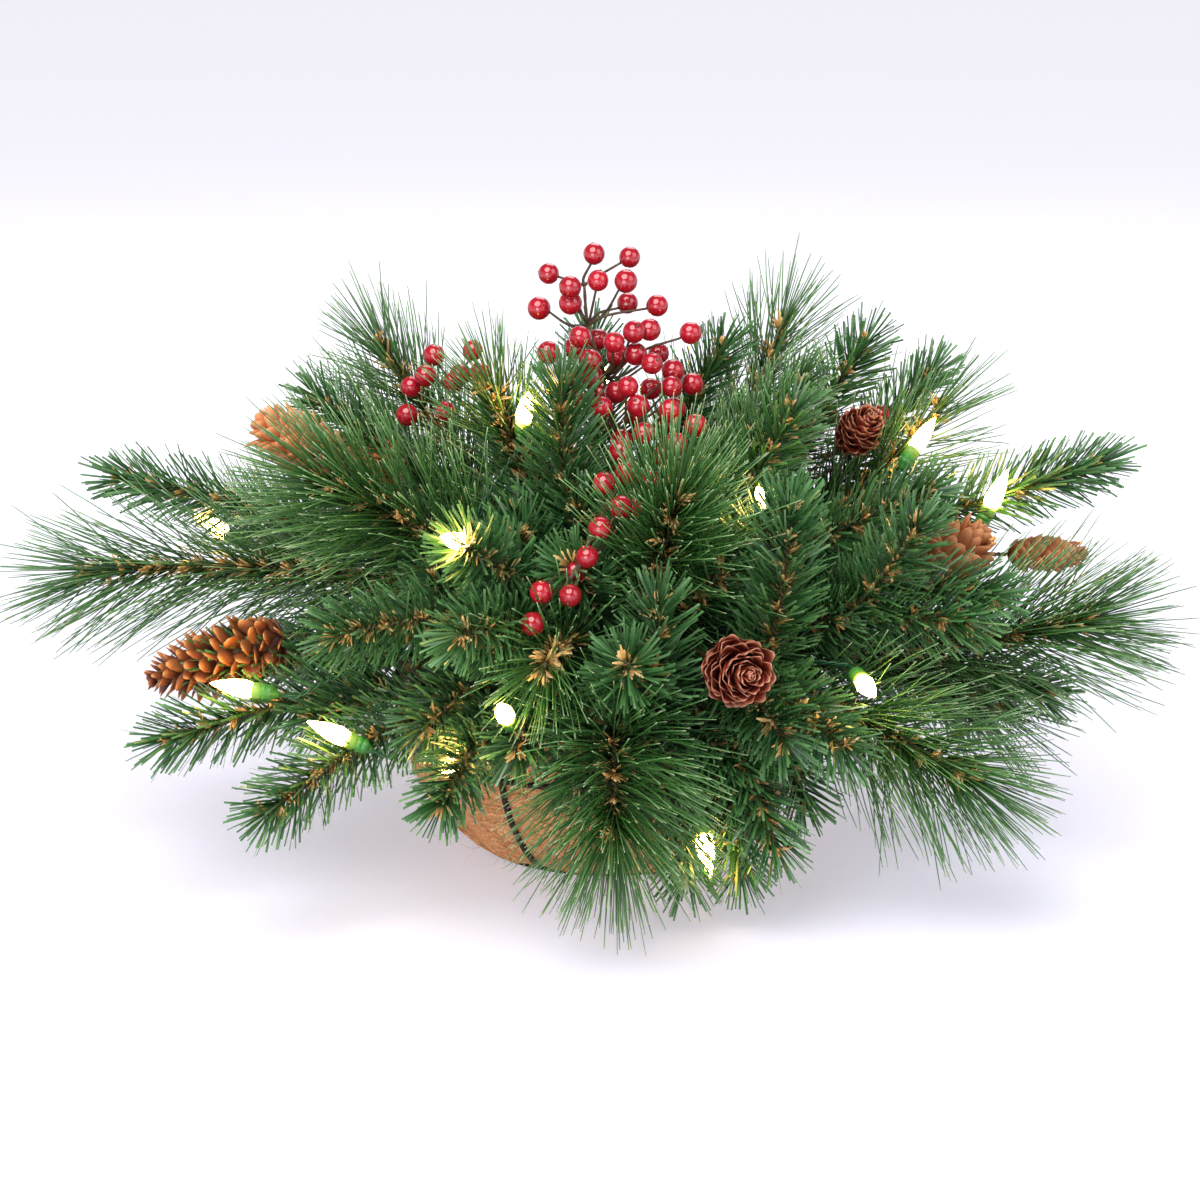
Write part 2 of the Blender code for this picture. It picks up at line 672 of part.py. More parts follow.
def make_cover(bay_low, bay_high, cover_z, case_high):
    """A plate that slides off towards +Y on a tongue along each of its two ends."""
    left, right = bay_low.x + SLIDE_CLEARANCE, bay_high.x - SLIDE_CLEARANCE
    top = case_high.z
    near, far = bay_low.y + SLIDE_CLEARANCE, case_high.y
    outline = [
        (left - TONGUE, cover_z),
        (right + TONGUE, cover_z),
        (right + TONGUE, cover_z + TONGUE),
        (right, cover_z + TONGUE),
        (right, top),
        (left, top),
        (left, cover_z + TONGUE),
        (left - TONGUE, cover_z + TONGUE),
    ]
    shape = bmesh.new()
    face = shape.faces.new([shape.verts.new((x, near, z)) for x, z in outline])
    swept = bmesh.ops.extrude_face_region(shape, geom=[face])["geom"]
    moved = [item for item in swept if isinstance(item, bmesh.types.BMVert)]
    bmesh.ops.translate(shape, vec=(0, far - near, 0), verts=moved)
    bmesh.ops.recalc_face_normals(shape, faces=shape.faces)
    mesh = bpy.data.meshes.new("battery_cover")
    shape.to_mesh(mesh)
    shape.free()
    cover = link("battery_cover", mesh, plain_material("battery_plastic", (0.02, 0.02, 0.02), 0.5))
    ride_on_joint(cover, ((left + right) / 2, (near + far) / 2, cover_z))


def make_button(centre, deck_top, deck_under):
    """A stepped push-button, held under the deck by its flange."""
    flange_top = deck_under - GAP
    profile = [
        (0, flange_top - BUTTON_HEIGHT / 2),
        (BUTTON_RADIUS + FLANGE, flange_top - BUTTON_HEIGHT / 2),
        (BUTTON_RADIUS + FLANGE, flange_top),
        (BUTTON_RADIUS, flange_top),
        (BUTTON_RADIUS, deck_top + BUTTON_TRAVEL + BUTTON_PROUD),
        (0, deck_top + BUTTON_TRAVEL + BUTTON_PROUD),
    ]
    grey = plain_material("button", (0.6, 0.6, 0.6), 0.4)
    button = turned("timer_button", profile, PIN_SIDES, grey)
    for vertex in button.data.vertices:
        vertex.co += Vector((centre.x, centre.y, 0))
    ride_on_joint(button, (centre.x, centre.y, deck_top))


def make_cell(name, bay_low, bay_high, side):
    """A cell lying along X, its positive end on the side given."""
    middle_x = (bay_low.x + bay_high.x) / 2
    middle_y = (bay_low.y + bay_high.y) / 2 + side * (CELL_RADIUS + CELL_CLEARANCE / 2)
    half = CELL_LENGTH / 2
    profile = [
        (0, -half),
        (CELL_RADIUS, -half),
        (CELL_RADIUS, half),
        (NUB_RADIUS, half),
        (NUB_RADIUS, half + NUB_HEIGHT),
        (0, half + NUB_HEIGHT),
    ]
    jacket = plain_material("cell_jacket", (0.25, 0.25, 0.26), 0.35, 0.6)
    cell = turned(name, profile, PIN_SIDES, jacket)
    centre = Vector((middle_x - side * NUB_HEIGHT / 2, middle_y, bay_low.z + GAP + CELL_RADIUS))
    turn = Matrix.Rotation(side * math.pi / 2, 4, "Y")
    cell.data.transform(Matrix.Translation(centre) @ turn)


def main():
    for thing in list(bpy.data.objects):
        bpy.data.objects.remove(thing)
    make_basket()
    make_liner()
    make_foam()
    for row in BRANCHES:
        make_branch(*row)
    for row in CONES:
        make_cone(*row)
    for name, (root, stem, berries) in SPRAYS.items():
        make_spray(name, root, stem, berries)
    make_light_string()
    for row in LAMPS:
        make_cap(*row)
    make_battery_box()


main()
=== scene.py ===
"""The looks of a pre-lit mixed-pine arrangement in a coir-lined wire basket, built round its CAD model.

Metres, +Z up, in the CAD model's frame: the front faces -Y, and azimuths are degrees counterclockwise
from +X. Almost everything here is a strand: needles, bud scales, wires, cone scales, berries and coir
fibres are all closed tubes with a ring of points at each step of a path, made together in one array.
"""
import math
import zlib

import bpy
import numpy as np
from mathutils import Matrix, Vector


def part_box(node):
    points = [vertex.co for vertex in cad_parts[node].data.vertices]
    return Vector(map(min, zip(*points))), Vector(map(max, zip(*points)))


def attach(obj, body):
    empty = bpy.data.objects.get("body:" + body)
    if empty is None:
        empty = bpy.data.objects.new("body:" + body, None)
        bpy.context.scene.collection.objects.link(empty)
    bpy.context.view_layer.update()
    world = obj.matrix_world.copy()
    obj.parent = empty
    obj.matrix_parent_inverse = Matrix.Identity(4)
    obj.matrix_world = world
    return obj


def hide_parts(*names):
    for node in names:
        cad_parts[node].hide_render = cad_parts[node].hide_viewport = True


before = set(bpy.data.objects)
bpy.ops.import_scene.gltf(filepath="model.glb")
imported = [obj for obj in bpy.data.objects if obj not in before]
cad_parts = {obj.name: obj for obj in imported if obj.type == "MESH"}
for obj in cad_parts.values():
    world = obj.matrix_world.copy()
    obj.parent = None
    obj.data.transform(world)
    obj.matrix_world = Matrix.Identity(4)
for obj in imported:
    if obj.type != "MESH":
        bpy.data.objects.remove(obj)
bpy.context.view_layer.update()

# ---- sizes shared with the CAD model

BOWL_RADIUS = 0.1095
BOWL_CENTRE_HEIGHT = 0.087
RIM_HEIGHT = 0.088
HOOP_HEIGHT = 0.060
WIRE_RADIUS = 0.0017
RIM_WIRE_RADIUS = 0.0022
RIB_COUNT = 6
FIRST_RIB_AZIMUTH = -120
LINER_WALL = 0.008
LINER_ABOVE_RIM = 0.002
GAP = 0.0003
FOAM_RISE = 0.050
FOAM_RADIUS = BOWL_RADIUS - WIRE_RADIUS - LINER_WALL - 2 * GAP
BEND_ABOVE_FOAM = 0.005
BEND_GAP = 0.0010
LEAD_OUT = 0.36
CONE_NECK = 0.008
PICK_RADIUS = 0.0013
BERRY_RADIUS = 0.0058
CORD_RADIUS = 0.0013
CORD_OFF_FOAM = 0.0025
CORD_ELEVATION = 16
LEAD_LIFT = 25
LEAD_STRAIGHT = 0.012
LEAD_RING_AZIMUTH = 58
LEAD_BEND = 0.012
HOLDER_LENGTH = 0.010
CAP_RADIUS = 0.0046
CAP_LENGTH = 0.021

LONG = "long_needle"
SHORT = "short_needle"

# Branches: name, root azimuth and elevation seen from the middle of the rim, then the stem's end as
# azimuth, reach from the centre line and height. The name says which needles it has.
BRANCHES = [
    ("long_branch_left", -176, 26, -176, 0.268, 0.148),
    ("long_branch_upper_left", -160, 44, -157, 0.154, 0.205),
    ("long_branch_top_left", 150, 50, 154, 0.135, 0.252),
    ("long_branch_tall_left", 178, 68, -161, 0.062, 0.245),
    ("long_branch_front_middle", -72, 40, -74, 0.116, 0.208),
    ("long_branch_top_right", 30, 54, 40, 0.124, 0.262),
    ("long_branch_upper_right", 12, 30, 10, 0.175, 0.223),
    ("long_branch_tall_right", -20, 62, 0, 0.098, 0.242),
    ("long_branch_right", -12, 7, -14, 0.248, 0.134),
    ("long_branch_low_right", -38, 5, -37, 0.217, 0.074),
    ("long_branch_low_front", -89, 5, -89, 0.180, 0.062),
    ("long_branch_front_left", -102, 26, -102, 0.150, 0.134),
    ("short_branch_upper_left", 170, 30, 173, 0.259, 0.186),
    ("short_branch_low_left", -156, 5, -155, 0.239, 0.084),
    ("short_branch_low_front_left", -134, 5, -135, 0.228, 0.067),
    ("short_branch_left_middle", -136, 28, -137, 0.178, 0.143),
    ("short_branch_centre", -120, 62, -120, 0.046, 0.250),
    ("short_branch_front_low", -117, 5, -115, 0.185, 0.074),
    ("short_branch_front_right", -46, 36, -50, 0.131, 0.198),
    ("short_branch_right_middle", -22, 38, -21, 0.170, 0.200),
    ("short_branch_right", -1, 30, 4, 0.258, 0.197),
    ("short_branch_low_front_right", -62, 5, -62, 0.170, 0.045),
    ("short_branch_back_left", 120, 6, 121, 0.235, 0.085),
    ("long_branch_back", 84, 6, 83, 0.210, 0.070),
    ("long_branch_back_left", 146, 8, 147, 0.225, 0.130),
    ("long_branch_back_right", 42, 8, 46, 0.225, 0.120),
]

# Smaller tips that fill the mound between the branches, with no CAD node of their own: name,
# root azimuth and elevation, then the stem's end as x, y and z in millimetres.
TIPS = [
    ("tip_top", 60, 68, (60, 40, 254)),
    ("tip_top_left", 165, 46, (-152, 40, 228)),
    ("tip_low_right", -8, 5, (205, -20, 74)),
    ("tip_right_under", 14, 4, (205, 60, 45)),
    ("tip_right_behind", 26, 30, (176, 90, 232)),
    ("tip_top_behind", 96, 64, (-9, 80, 252)),
    ("tip_left_to_front", -118, 40, (-70, -122, 188)),
    ("tip_left_low_to_front", -112, 30, (-70, -146, 150)),
    ("tip_middle_to_front", -80, 8, (24, -128, 161)),
    ("tip_right_upright_front", -52, 10, (86, -114, 203)),
    ("tip_right_upright_side", -30, 14, (150, -94, 191)),
    ("tip_top_right", 20, 44, (137, 60, 254)),
    ("tip_right_to_front", -30, 24, (176, -92, 142)),
    ("tip_back_high", 110, 40, (-60, 164, 190)),
    ("tip_back_high_right", 68, 36, (65, 150, 195)),
    ("tip_back_left_high", 138, 34, (-128, 112, 200)),
    ("tip_left_low", -166, 8, (-196, -58, 112)),
    ("tip_front_low_right", -52, 12, (112, -150, 96)),
    ("tip_over_rim_left", -124, 12, (-88, -132, 100)),
    ("tip_over_rim_front_left", -104, 10, (-44, -152, 96)),
    ("tip_over_rim_front", -94, 5, (-14, -140, 76)),
    ("tip_over_rim_middle", -80, 6, (26, -142, 74)),
    ("tip_over_rim_right", -68, 5, (62, -130, 62)),
    ("tip_over_rim_far_right", -50, 6, (96, -112, 56)),
    ("tip_over_rim_high_right", -58, 16, (84, -148, 98)),
    ("tip_under_right", -28, 5, (150, -70, 66)),
    ("tip_under_left", -146, 6, (-146, -92, 92)),
    ("tip_over_foot_right", -64, 4, (64, -132, 27)),
    ("tip_over_foot_front", -74, 4, (38, -140, 27)),
    ("tip_right_upright", -34, 50, (92, -40, 236)),
    ("tip_right_forward", -24, 32, (190, -84, 152)),
    ("tip_right_low_behind", -6, 8, (226, -22, 84)),
    ("tip_back_left_mid", 128, 20, (-108, 146, 148)),
    ("tip_back_middle", 96, 22, (-14, 194, 150)),
    ("tip_back_right_mid", 62, 18, (88, 164, 138)),
    ("tip_back_rim_left", 134, 6, (-112, 118, 84)),
    ("tip_back_rim_middle", 102, 5, (-30, 160, 78)),
    ("tip_back_rim_right", 58, 5, (88, 138, 74)),
    ("tip_back_side_right", 24, 6, (164, 74, 88)),
    ("tip_back_side_left", 164, 5, (-172, 52, 88)),
    ("tip_back_side_high", 26, 24, (158, 84, 168)),
    ("tip_back_side_high_left", 152, 24, (-150, 84, 170)),
]

# The tips with long needles; the others have short ones.
LONG_TIPS = ("tip_low_right", "tip_back_high_right", "tip_back_left_high", "tip_back_left_mid")

# The branches on a joint of their own; each one's body has its name.
BENDING = ("long_branch_left", "long_branch_right", "long_branch_low_right")

# Cones: name, root azimuth and elevation, the base's azimuth, reach and height, the azimuth and
# elevation that the tip points in, length, largest diameter and the look of its scales.
CONES = [
    ("cone_front", -66, 24, -66, 0.138, 0.128, -78, 12, 0.046, 0.039, "rosette"),
    ("cone_left", -171, 8, -162, 0.172, 0.122, -172, -16, 0.070, 0.034, "open"),
    ("cone_upper_left", 180, 46, -180, 0.140, 0.203, 178, 26, 0.044, 0.034, "pale"),
    ("cone_inner_left", 166, 40, 160, 0.109, 0.187, 180, 10, 0.044, 0.034, "pale"),
    ("cone_top_right", -6, 74, 10, 0.126, 0.206, -60, 40, 0.030, 0.027, "rosette"),
    ("cone_right", -12, 34, -12, 0.162, 0.146, -6, 42, 0.042, 0.036, "closed"),
    ("cone_far_right", 16, 23, 6, 0.212, 0.147, 2, 0, 0.041, 0.022, "closed"),
    ("cone_back", 98, 8, 98, 0.150, 0.135, 96, 14, 0.046, 0.036, "open"),
]

# LED lamps: name, the azimuth at which their lead leaves the ring of wire, the middle of the
# holder's back as azimuth, reach and height, and the azimuth and elevation of the cap.
LAMPS = [
    ("led_cap_left", -147, -150, 0.190, 0.106, 174, 8),
    ("led_cap_low_left", -124, -130, 0.180, 0.092, -170, 28),
    ("led_cap_front", -108, -107, 0.158, 0.108, -100, 34),
    ("led_cap_low_front", -76, -72, 0.142, 0.058, -66, -66),
    ("led_cap_front_right", -50, -44, 0.166, 0.122, -78, -4),
    ("led_cap_right", -4, -2, 0.192, 0.170, 0, 66),
    ("led_cap_upper_front", -34, -41, 0.106, 0.189, -110, 40),
    ("led_cap_upper_right", -15, 0, 0.152, 0.200, 40, 44),
    ("led_cap_upper_left", -124, -121, 0.126, 0.184, -118, 20),
    ("led_cap_back", 66, 68, 0.180, 0.135, 70, 20),
]

# Lamps deeper in the needles and round the back, with no CAD node of their own.
DEEP_LAMPS = [
    ("deep_cap_front_low", -116, -121, 0.138, 0.086, -104, -8),
    ("deep_cap_top", -150, -150, 0.050, 0.222, -80, 50),
    ("deep_cap_back_left", 138, 140, 0.176, 0.150, 150, 30),
    ("deep_cap_back_middle", 108, 110, 0.170, 0.112, 100, -20),
    ("deep_cap_back_right", 28, 34, 0.186, 0.140, 20, 20),
    ("deep_cap_back_top", 100, 92, 0.110, 0.205, 84, 50),
    ("deep_cap_side_left", 172, 170, 0.196, 0.150, 176, 30),
]

# Cones at the back, with no CAD node of their own.
BACK_CONES = [
    ("back_cone_left", 134, 24, 134, 0.168, 0.160, 140, 30, 0.044, 0.035, "closed"),
    ("back_cone_right", 58, 26, 56, 0.150, 0.176, 50, 24, 0.044, 0.036, "pale"),
]

# Berries between those of the CAD model's sprays, in millimetres.
MORE_BERRIES = {
    "berry_spray_top": [
        (-19, -2, 284), (3, -20, 267), (13, -18, 272), (-9, -22, 258), (10, -28, 246), (32, -22, 245),
        (-3, -30, 236), (15, -32, 237), (31, -28, 234), (22, -24, 257), (-14, -16, 269), (-18, -24, 240),
        (18, -36, 224), (6, -42, 216), (34, -38, 219), (44, -26, 226),
    ],
    "berry_spray_front": [(12, -84, 196), (-16, -104, 170)],
}

# Berries: the stem's root azimuth and elevation, points along the stem, then the berries,
# all in millimetres as x, y, z.
SPRAYS = {
    "berry_spray_top": (
        (80, 84),
        [(2, 2, 175), (3, 0, 210), (-2, 2, 245), (-10, 2, 272), (-12, 4, 292)],
        [
            (-7, 4, 308), (-5, -6, 296), (11, 6, 306), (9, -8, 296), (-30, 4, 298),
            (-19, -8, 293), (-35, 6, 280), (10, 10, 282), (25, 2, 282), (21, -12, 272),
            (42, 2, 268), (14, -14, 260), (-5, 12, 263), (-30, -10, 260), (-17, 14, 258),
            (5, 4, 256), (26, 10, 256), (33, -6, 250), (-20, -6, 247), (-8, -14, 248),
            (4, -12, 240), (22, 8, 238), (43, 0, 242), (34, -14, 232), (-3, 14, 234),
            (15, 4, 224), (31, 10, 220), (7, -16, 216), (28, -16, 208),
        ],
    ),
    "berry_spray_front": (
        (-98, 72),
        [(-2, -46, 190), (4, -68, 202), (-2, -88, 196), (-12, -106, 178), (-22, -116, 164)],
        [
            (9, -74, 212), (20, -66, 206), (-2, -88, 210), (6, -96, 200), (-4, -106, 192),
            (-10, -114, 180), (-32, -120, 164), (-18, -126, 164), (-36, -126, 150),
        ],
    ),
    "berry_spray_left": (
        (128, 64),
        [(-46, 34, 175), (-68, 32, 215), (-80, 26, 232)],
        [
            (-104, 20, 222), (-102, 24, 236), (-94, 18, 243), (-90, 28, 252), (-76, 16, 244),
            (-80, 26, 238), (-70, 30, 254), (-66, 18, 244), (-84, 14, 225),
        ],
    ),
    "berry_spray_right": (
        (10, 58),
        [(58, 12, 158), (100, 32, 184), (126, 48, 202)],
        [(144, 50, 216), (140, 56, 206), (118, 54, 214)],
    ),
}

# ---- sizes of the looks

LANES = 64  # rows of the strands' map, so that a strand's row says which colour it takes
WIRE_LANES, BUD_LANES = (0, 32), (32, LANES)
SCALE_LANES, CORE_LANES, PICK_LANES = (0, 56), (56, 60), (60, LANES)
BERRY_LANES, TWIG_LANES = (0, 40), (40, LANES)
RING_LANES, RIB_LANES = (0, 30), (30, LANES)
INTO_FOAM = 0.002
INTO_CONE = 0.002
CORD_PITCH = 0.011
LEAD_HOLE_DEPTH = 0.0045
LEAD_IN_HOLE = 0.0026
LYING_FIBRES = 4000
STANDING_FIBRES = 420
SLANT = (0.3, 0.5, 0.8)  # a direction that no cap, lead or twig lies along
STRAND_MAP = "OFBake"
FLOOR_CLEARANCE = 0.0016
GOLDEN_ANGLE = math.radians(137.508)
ROOT_BODY = "arrangement"


# ---- colours and materials

def colour(code):
    """A linear RGBA from a sRGB hex code."""
    parts = [int(code[place:place + 2], 16) / 255 for place in (0, 2, 4)]
    linear = [part / 12.92 if part <= 0.04045 else ((part + 0.055) / 1.055) ** 2.4 for part in parts]
    return (*linear, 1.0)


class Nodes:
    """Short ways to add nodes to a material or a world, and to link them to its shader."""

    def __init__(self, owner, shader="Principled BSDF", **sockets):
        owner.use_nodes = True
        self.made = owner
        self.tree = owner.node_tree
        self.shader = self.tree.nodes[shader]
        for socket, value in sockets.items():
            self.shader.inputs[socket.replace("_", " ")].default_value = value

    def node(self, kind, inputs=None, **settings):
        node = self.tree.nodes.new(kind)
        for setting, value in settings.items():
            setattr(node, setting, value)
        for socket, value in (inputs or {}).items():
            if isinstance(value, bpy.types.NodeSocket):
                self.tree.links.new(value, node.inputs[socket])
            else:
                node.inputs[socket].default_value = value
        return node

    def link(self, socket, name):
        self.tree.links.new(socket, self.shader.inputs[name])

    def maths(self, operation, first, second=0.0):
        return self.node("ShaderNodeMath", {0: first, 1: second}, operation=operation).outputs[0]

    def ramp(self, factor, text):
        """Colours along a factor, from a text of places and hex codes such as "0 1c1d0b 1 c8d2a6"."""
        node = self.node("ShaderNodeValToRGB", {"Fac": factor})
        elements, words = node.color_ramp.elements, text.split()
        while len(elements) < len(words) // 2:
            elements.new(0.5)
        for element, place, code in zip(elements, words[::2], words[1::2]):
            element.position = float(place)
            element.color = colour(code)
        return node.outputs["Color"]

    def mix(self, factor, first, second):
        """The second colour over the first. Sockets 6 and 7 are the ones for colours."""
        return self.node("ShaderNodeMix", {0: factor, 6: first, 7: second}, data_type="RGBA").outputs[2]

    def between(self, value, low, high, start=0.0, end=1.0):
        """From low to high while value goes from start to end."""
        return self.node("ShaderNodeMapRange", {0: value, 1: start, 2: end, 3: low, 4: high}).outputs[0]

    def noise(self, scale, detail=3.0, vector=None, roughness=0.5):
        vector = vector or self.place()
        inputs = {"Vector": vector, "Scale": scale, "Detail": detail, "Roughness": roughness}
        return self.node("ShaderNodeTexNoise", inputs).outputs["Fac"]

    def place(self, stretch=(1, 1, 1)):
        where = self.node("ShaderNodeTexCoord").outputs["Object"]
        return self.node("ShaderNodeMapping", {"Vector": where, "Scale": stretch}).outputs["Vector"]

    def bump(self, height, strength, distance):
        inputs = {"Height": height, "Strength": strength, "Distance": distance}
        self.link(self.node("ShaderNodeBump", inputs).outputs["Normal"], "Normal")

    def strand(self):
        """Where a point is along its strand, and a random number for the strand's lane."""
        where = self.node("ShaderNodeUVMap", uv_map=STRAND_MAP).outputs[0]
        parts = self.node("ShaderNodeSeparateXYZ", {0: where})
        lane = self.maths("FLOOR", self.maths("MULTIPLY", parts.outputs["Y"], float(LANES)))
        shade = self.node("ShaderNodeTexWhiteNoise", {"W": lane}, noise_dimensions="1D").outputs["Value"]
        return parts.outputs["X"], shade


# Materials of the strands: roughness, how much of a strand's own shade goes in, the colours along a strand,
# those from strand to strand, and other sockets. The colours along the needles and cone scales are darkened
# at the root with painted shade, and those along the lamp holders lightened with painted lamp light.
STRAND_LOOKS = {
    # Needles: the darkest colours at the root are painted shade deep in the foliage; the paler tip is the
    # needles' own colour.
    "long_needle": (
        0.26, 0.45, "0 1c1d0b 0.12 1b3615 0.45 2e5a24 0.93 5c8a4a 1 c8d2a6",
        "0 153412 0.4 2b5a24 0.75 477c3a 1 80a866", {},
    ),
    # Short needles: painted shade at the root as well, and their own colour towards the tip.
    "short_needle": (
        0.27, 0.45, "0 151a0a 0.2 183316 0.6 2f5c2d 1 628f58",
        "0 153316 0.4 2c5a2b 0.75 447a42 1 7ca46e", {},
    ),
    "bud_scale": (0.7, 0.4, "0 7c5a26 0.3 c09048 1 dcb878", "0 94682c 0.5 cda058 1 ead09a", {}),
    "stem_wire": (0.55, 0.4, "0 3d3418 1 4a4420", "0 33280f 1 5b5226", {}),
    # Cone scales: the nearly black colours at a scale's root are painted shade in the crevices between
    # scales; towards the end of the scale the browns are its own colour.
    "cone_scale_rosette": (
        0.5, 0.3, "0 180604 0.55 3c1008 0.85 7a2c1a 0.94 ae6448 1 d6a184",
        "0 340c06 0.6 742615 1 9a4a2c", {},
    ),
    "cone_scale_open": (
        0.6, 0.35, "0 0e0402 0.5 351307 0.8 7a3a15 0.93 b87032 1 d8a060",
        "0 341407 0.5 7c3c17 1 aa6a34", {},
    ),
    "cone_scale_pale": (
        0.65, 0.35, "0 43190c 0.45 96481f 0.8 c8743e 1 dc9b68",
        "0 823c1c 0.5 bd6c3c 1 d99a6a", {},
    ),
    "cone_scale_closed": (
        0.6, 0.35, "0 240d06 0.4 643012 0.8 a05a30 1 c48652",
        "0 5c2a12 0.5 96552b 1 b87a4c", {},
    ),
    "berry_skin": (
        0.12, 0.35, "0 6a0a16 0.12 9c0e20 0.9 a81226 0.955 8c0f1e 0.965 2a0d0a 1 1f0b08",
        "0 7c0b18 0.5 a51226 1 be2032", {"Coat_Weight": 0.6, "Coat_Roughness": 0.06},
    ),
    "berry_twig": (0.6, 0.4, "0 3b2a1c 1 54402a", "0 2b1d14 1 6a553a", {}),
    "coir_fibre": (
        0.85, 0.6, "0 b8743c 0.5 e4a66c 1 eec494",
        "0 a4602e 0.4 dc9a5c 0.75 eec08a 1 fae2bc", {},
    ),
    "basket_wire": (0.5, 0.35, "0 241c18 0.5 2c221c 1 241c18", "0 1c1613 1 4a3526", {"Metallic": 0.6}),
    "cord_sleeve": (0.32, 0.4, "0 12401f 1 174a26", "0 0f3519 1 1f5a2f", {}),
    # Lamp holders: green plastic that turns pale yellow-green towards the cap, painted light of the lamp.
    "lamp_holder": (0.35, 0.3, "0 1c5a22 0.6 3f8a2c 1 a9c84a", "0 2b6a24 1 6fa63a", {}),
}


def material(name, **sockets):
    return Nodes(bpy.data.materials.new(name), **sockets)


def make_materials():
    made = {}
    for name, (roughness, amount, lengthwise, variety, sockets) in STRAND_LOOKS.items():
        nodes = material(name, Roughness=roughness, **sockets)
        along_it, shade = nodes.strand()
        mixed = nodes.mix(amount, nodes.ramp(along_it, lengthwise), nodes.ramp(shade, variety))
        nodes.link(mixed, "Base Color")
        if name in (LONG, SHORT):
            nodes.link(nodes.between(shade, roughness - 0.1, roughness + 0.12), "Roughness")
        made[name] = nodes.made
    return made | {"lamp_cap": cap_material(), "coir": coir_material(), "foam": foam_material()}


CAP_GLOW = (1.0, 0.62, 0.14, 1.0)
CAP_BRIGHTNESS = 42.0


def cap_material():
    """A clear faceted cap, lit from inside."""
    glow = {"Emission_Color": CAP_GLOW, "Emission_Strength": CAP_BRIGHTNESS}
    nodes = material("lamp_cap", Roughness=0.08, **glow)
    nodes.link(nodes.ramp(nodes.strand()[0], "0 ffe08a 0.35 fff3c4 1 fff8df"), "Base Color")
    return nodes.made


def coir_material():
    """A felt of short fibres: streaks in three directions, darker in the hollows with painted shade."""
    nodes = material("coir", Roughness=0.95)
    streaks = [
        nodes.noise(1.0, 4.0, nodes.place(stretch), 0.65)
        for stretch in ((900, 160, 160), (160, 900, 220), (200, 200, 1000))
    ]
    felt = nodes.maths("MAXIMUM", nodes.maths("MAXIMUM", streaks[0], streaks[1]), streaks[2])
    blotch = nodes.noise(45.0, 3.0)
    # Painted shade: the felt's low parts, its hollows, take the darker colours.
    base = nodes.ramp(felt, "0.42 9c5f2c 0.53 da975a 0.64 eebb84 0.8 f8dcb4")
    nodes.link(nodes.mix(0.35, base, nodes.ramp(blotch, "0.3 c07a44 0.7 e8b482")), "Base Color")
    nodes.bump(felt, 0.9, 0.0015)
    return nodes.made


def foam_material():
    nodes = material("foam", Roughness=0.95)
    pores = nodes.noise(900.0, 4.0)
    nodes.link(nodes.ramp(pores, "0.35 0f2413 0.65 1f4526"), "Base Color")
    nodes.bump(pores, 0.7, 0.0006)
    return nodes.made


def moulded(name, low, high, roughness, grain=1400.0, metallic=0.0):
    """Moulded plastic or lacquered metal with a fine grain and a slight change of shade."""
    nodes = material(name, Metallic=metallic)
    nodes.link(nodes.ramp(nodes.noise(60.0, 4.0), f"0.3 {low} 0.7 {high}"), "Base Color")
    speckle = nodes.noise(grain, 2.0)
    nodes.link(nodes.between(speckle, roughness - 0.08, roughness + 0.1), "Roughness")
    nodes.bump(speckle, 0.25, 0.0002)
    return nodes.made


# ---- strands

def unit(vectors):
    return vectors / np.maximum(np.linalg.norm(vectors, axis=-1, keepdims=True), 1e-12)


def rng_for(name):
    """Random numbers of a piece's own, the same in each run."""
    return np.random.default_rng(zlib.crc32(name.encode()))


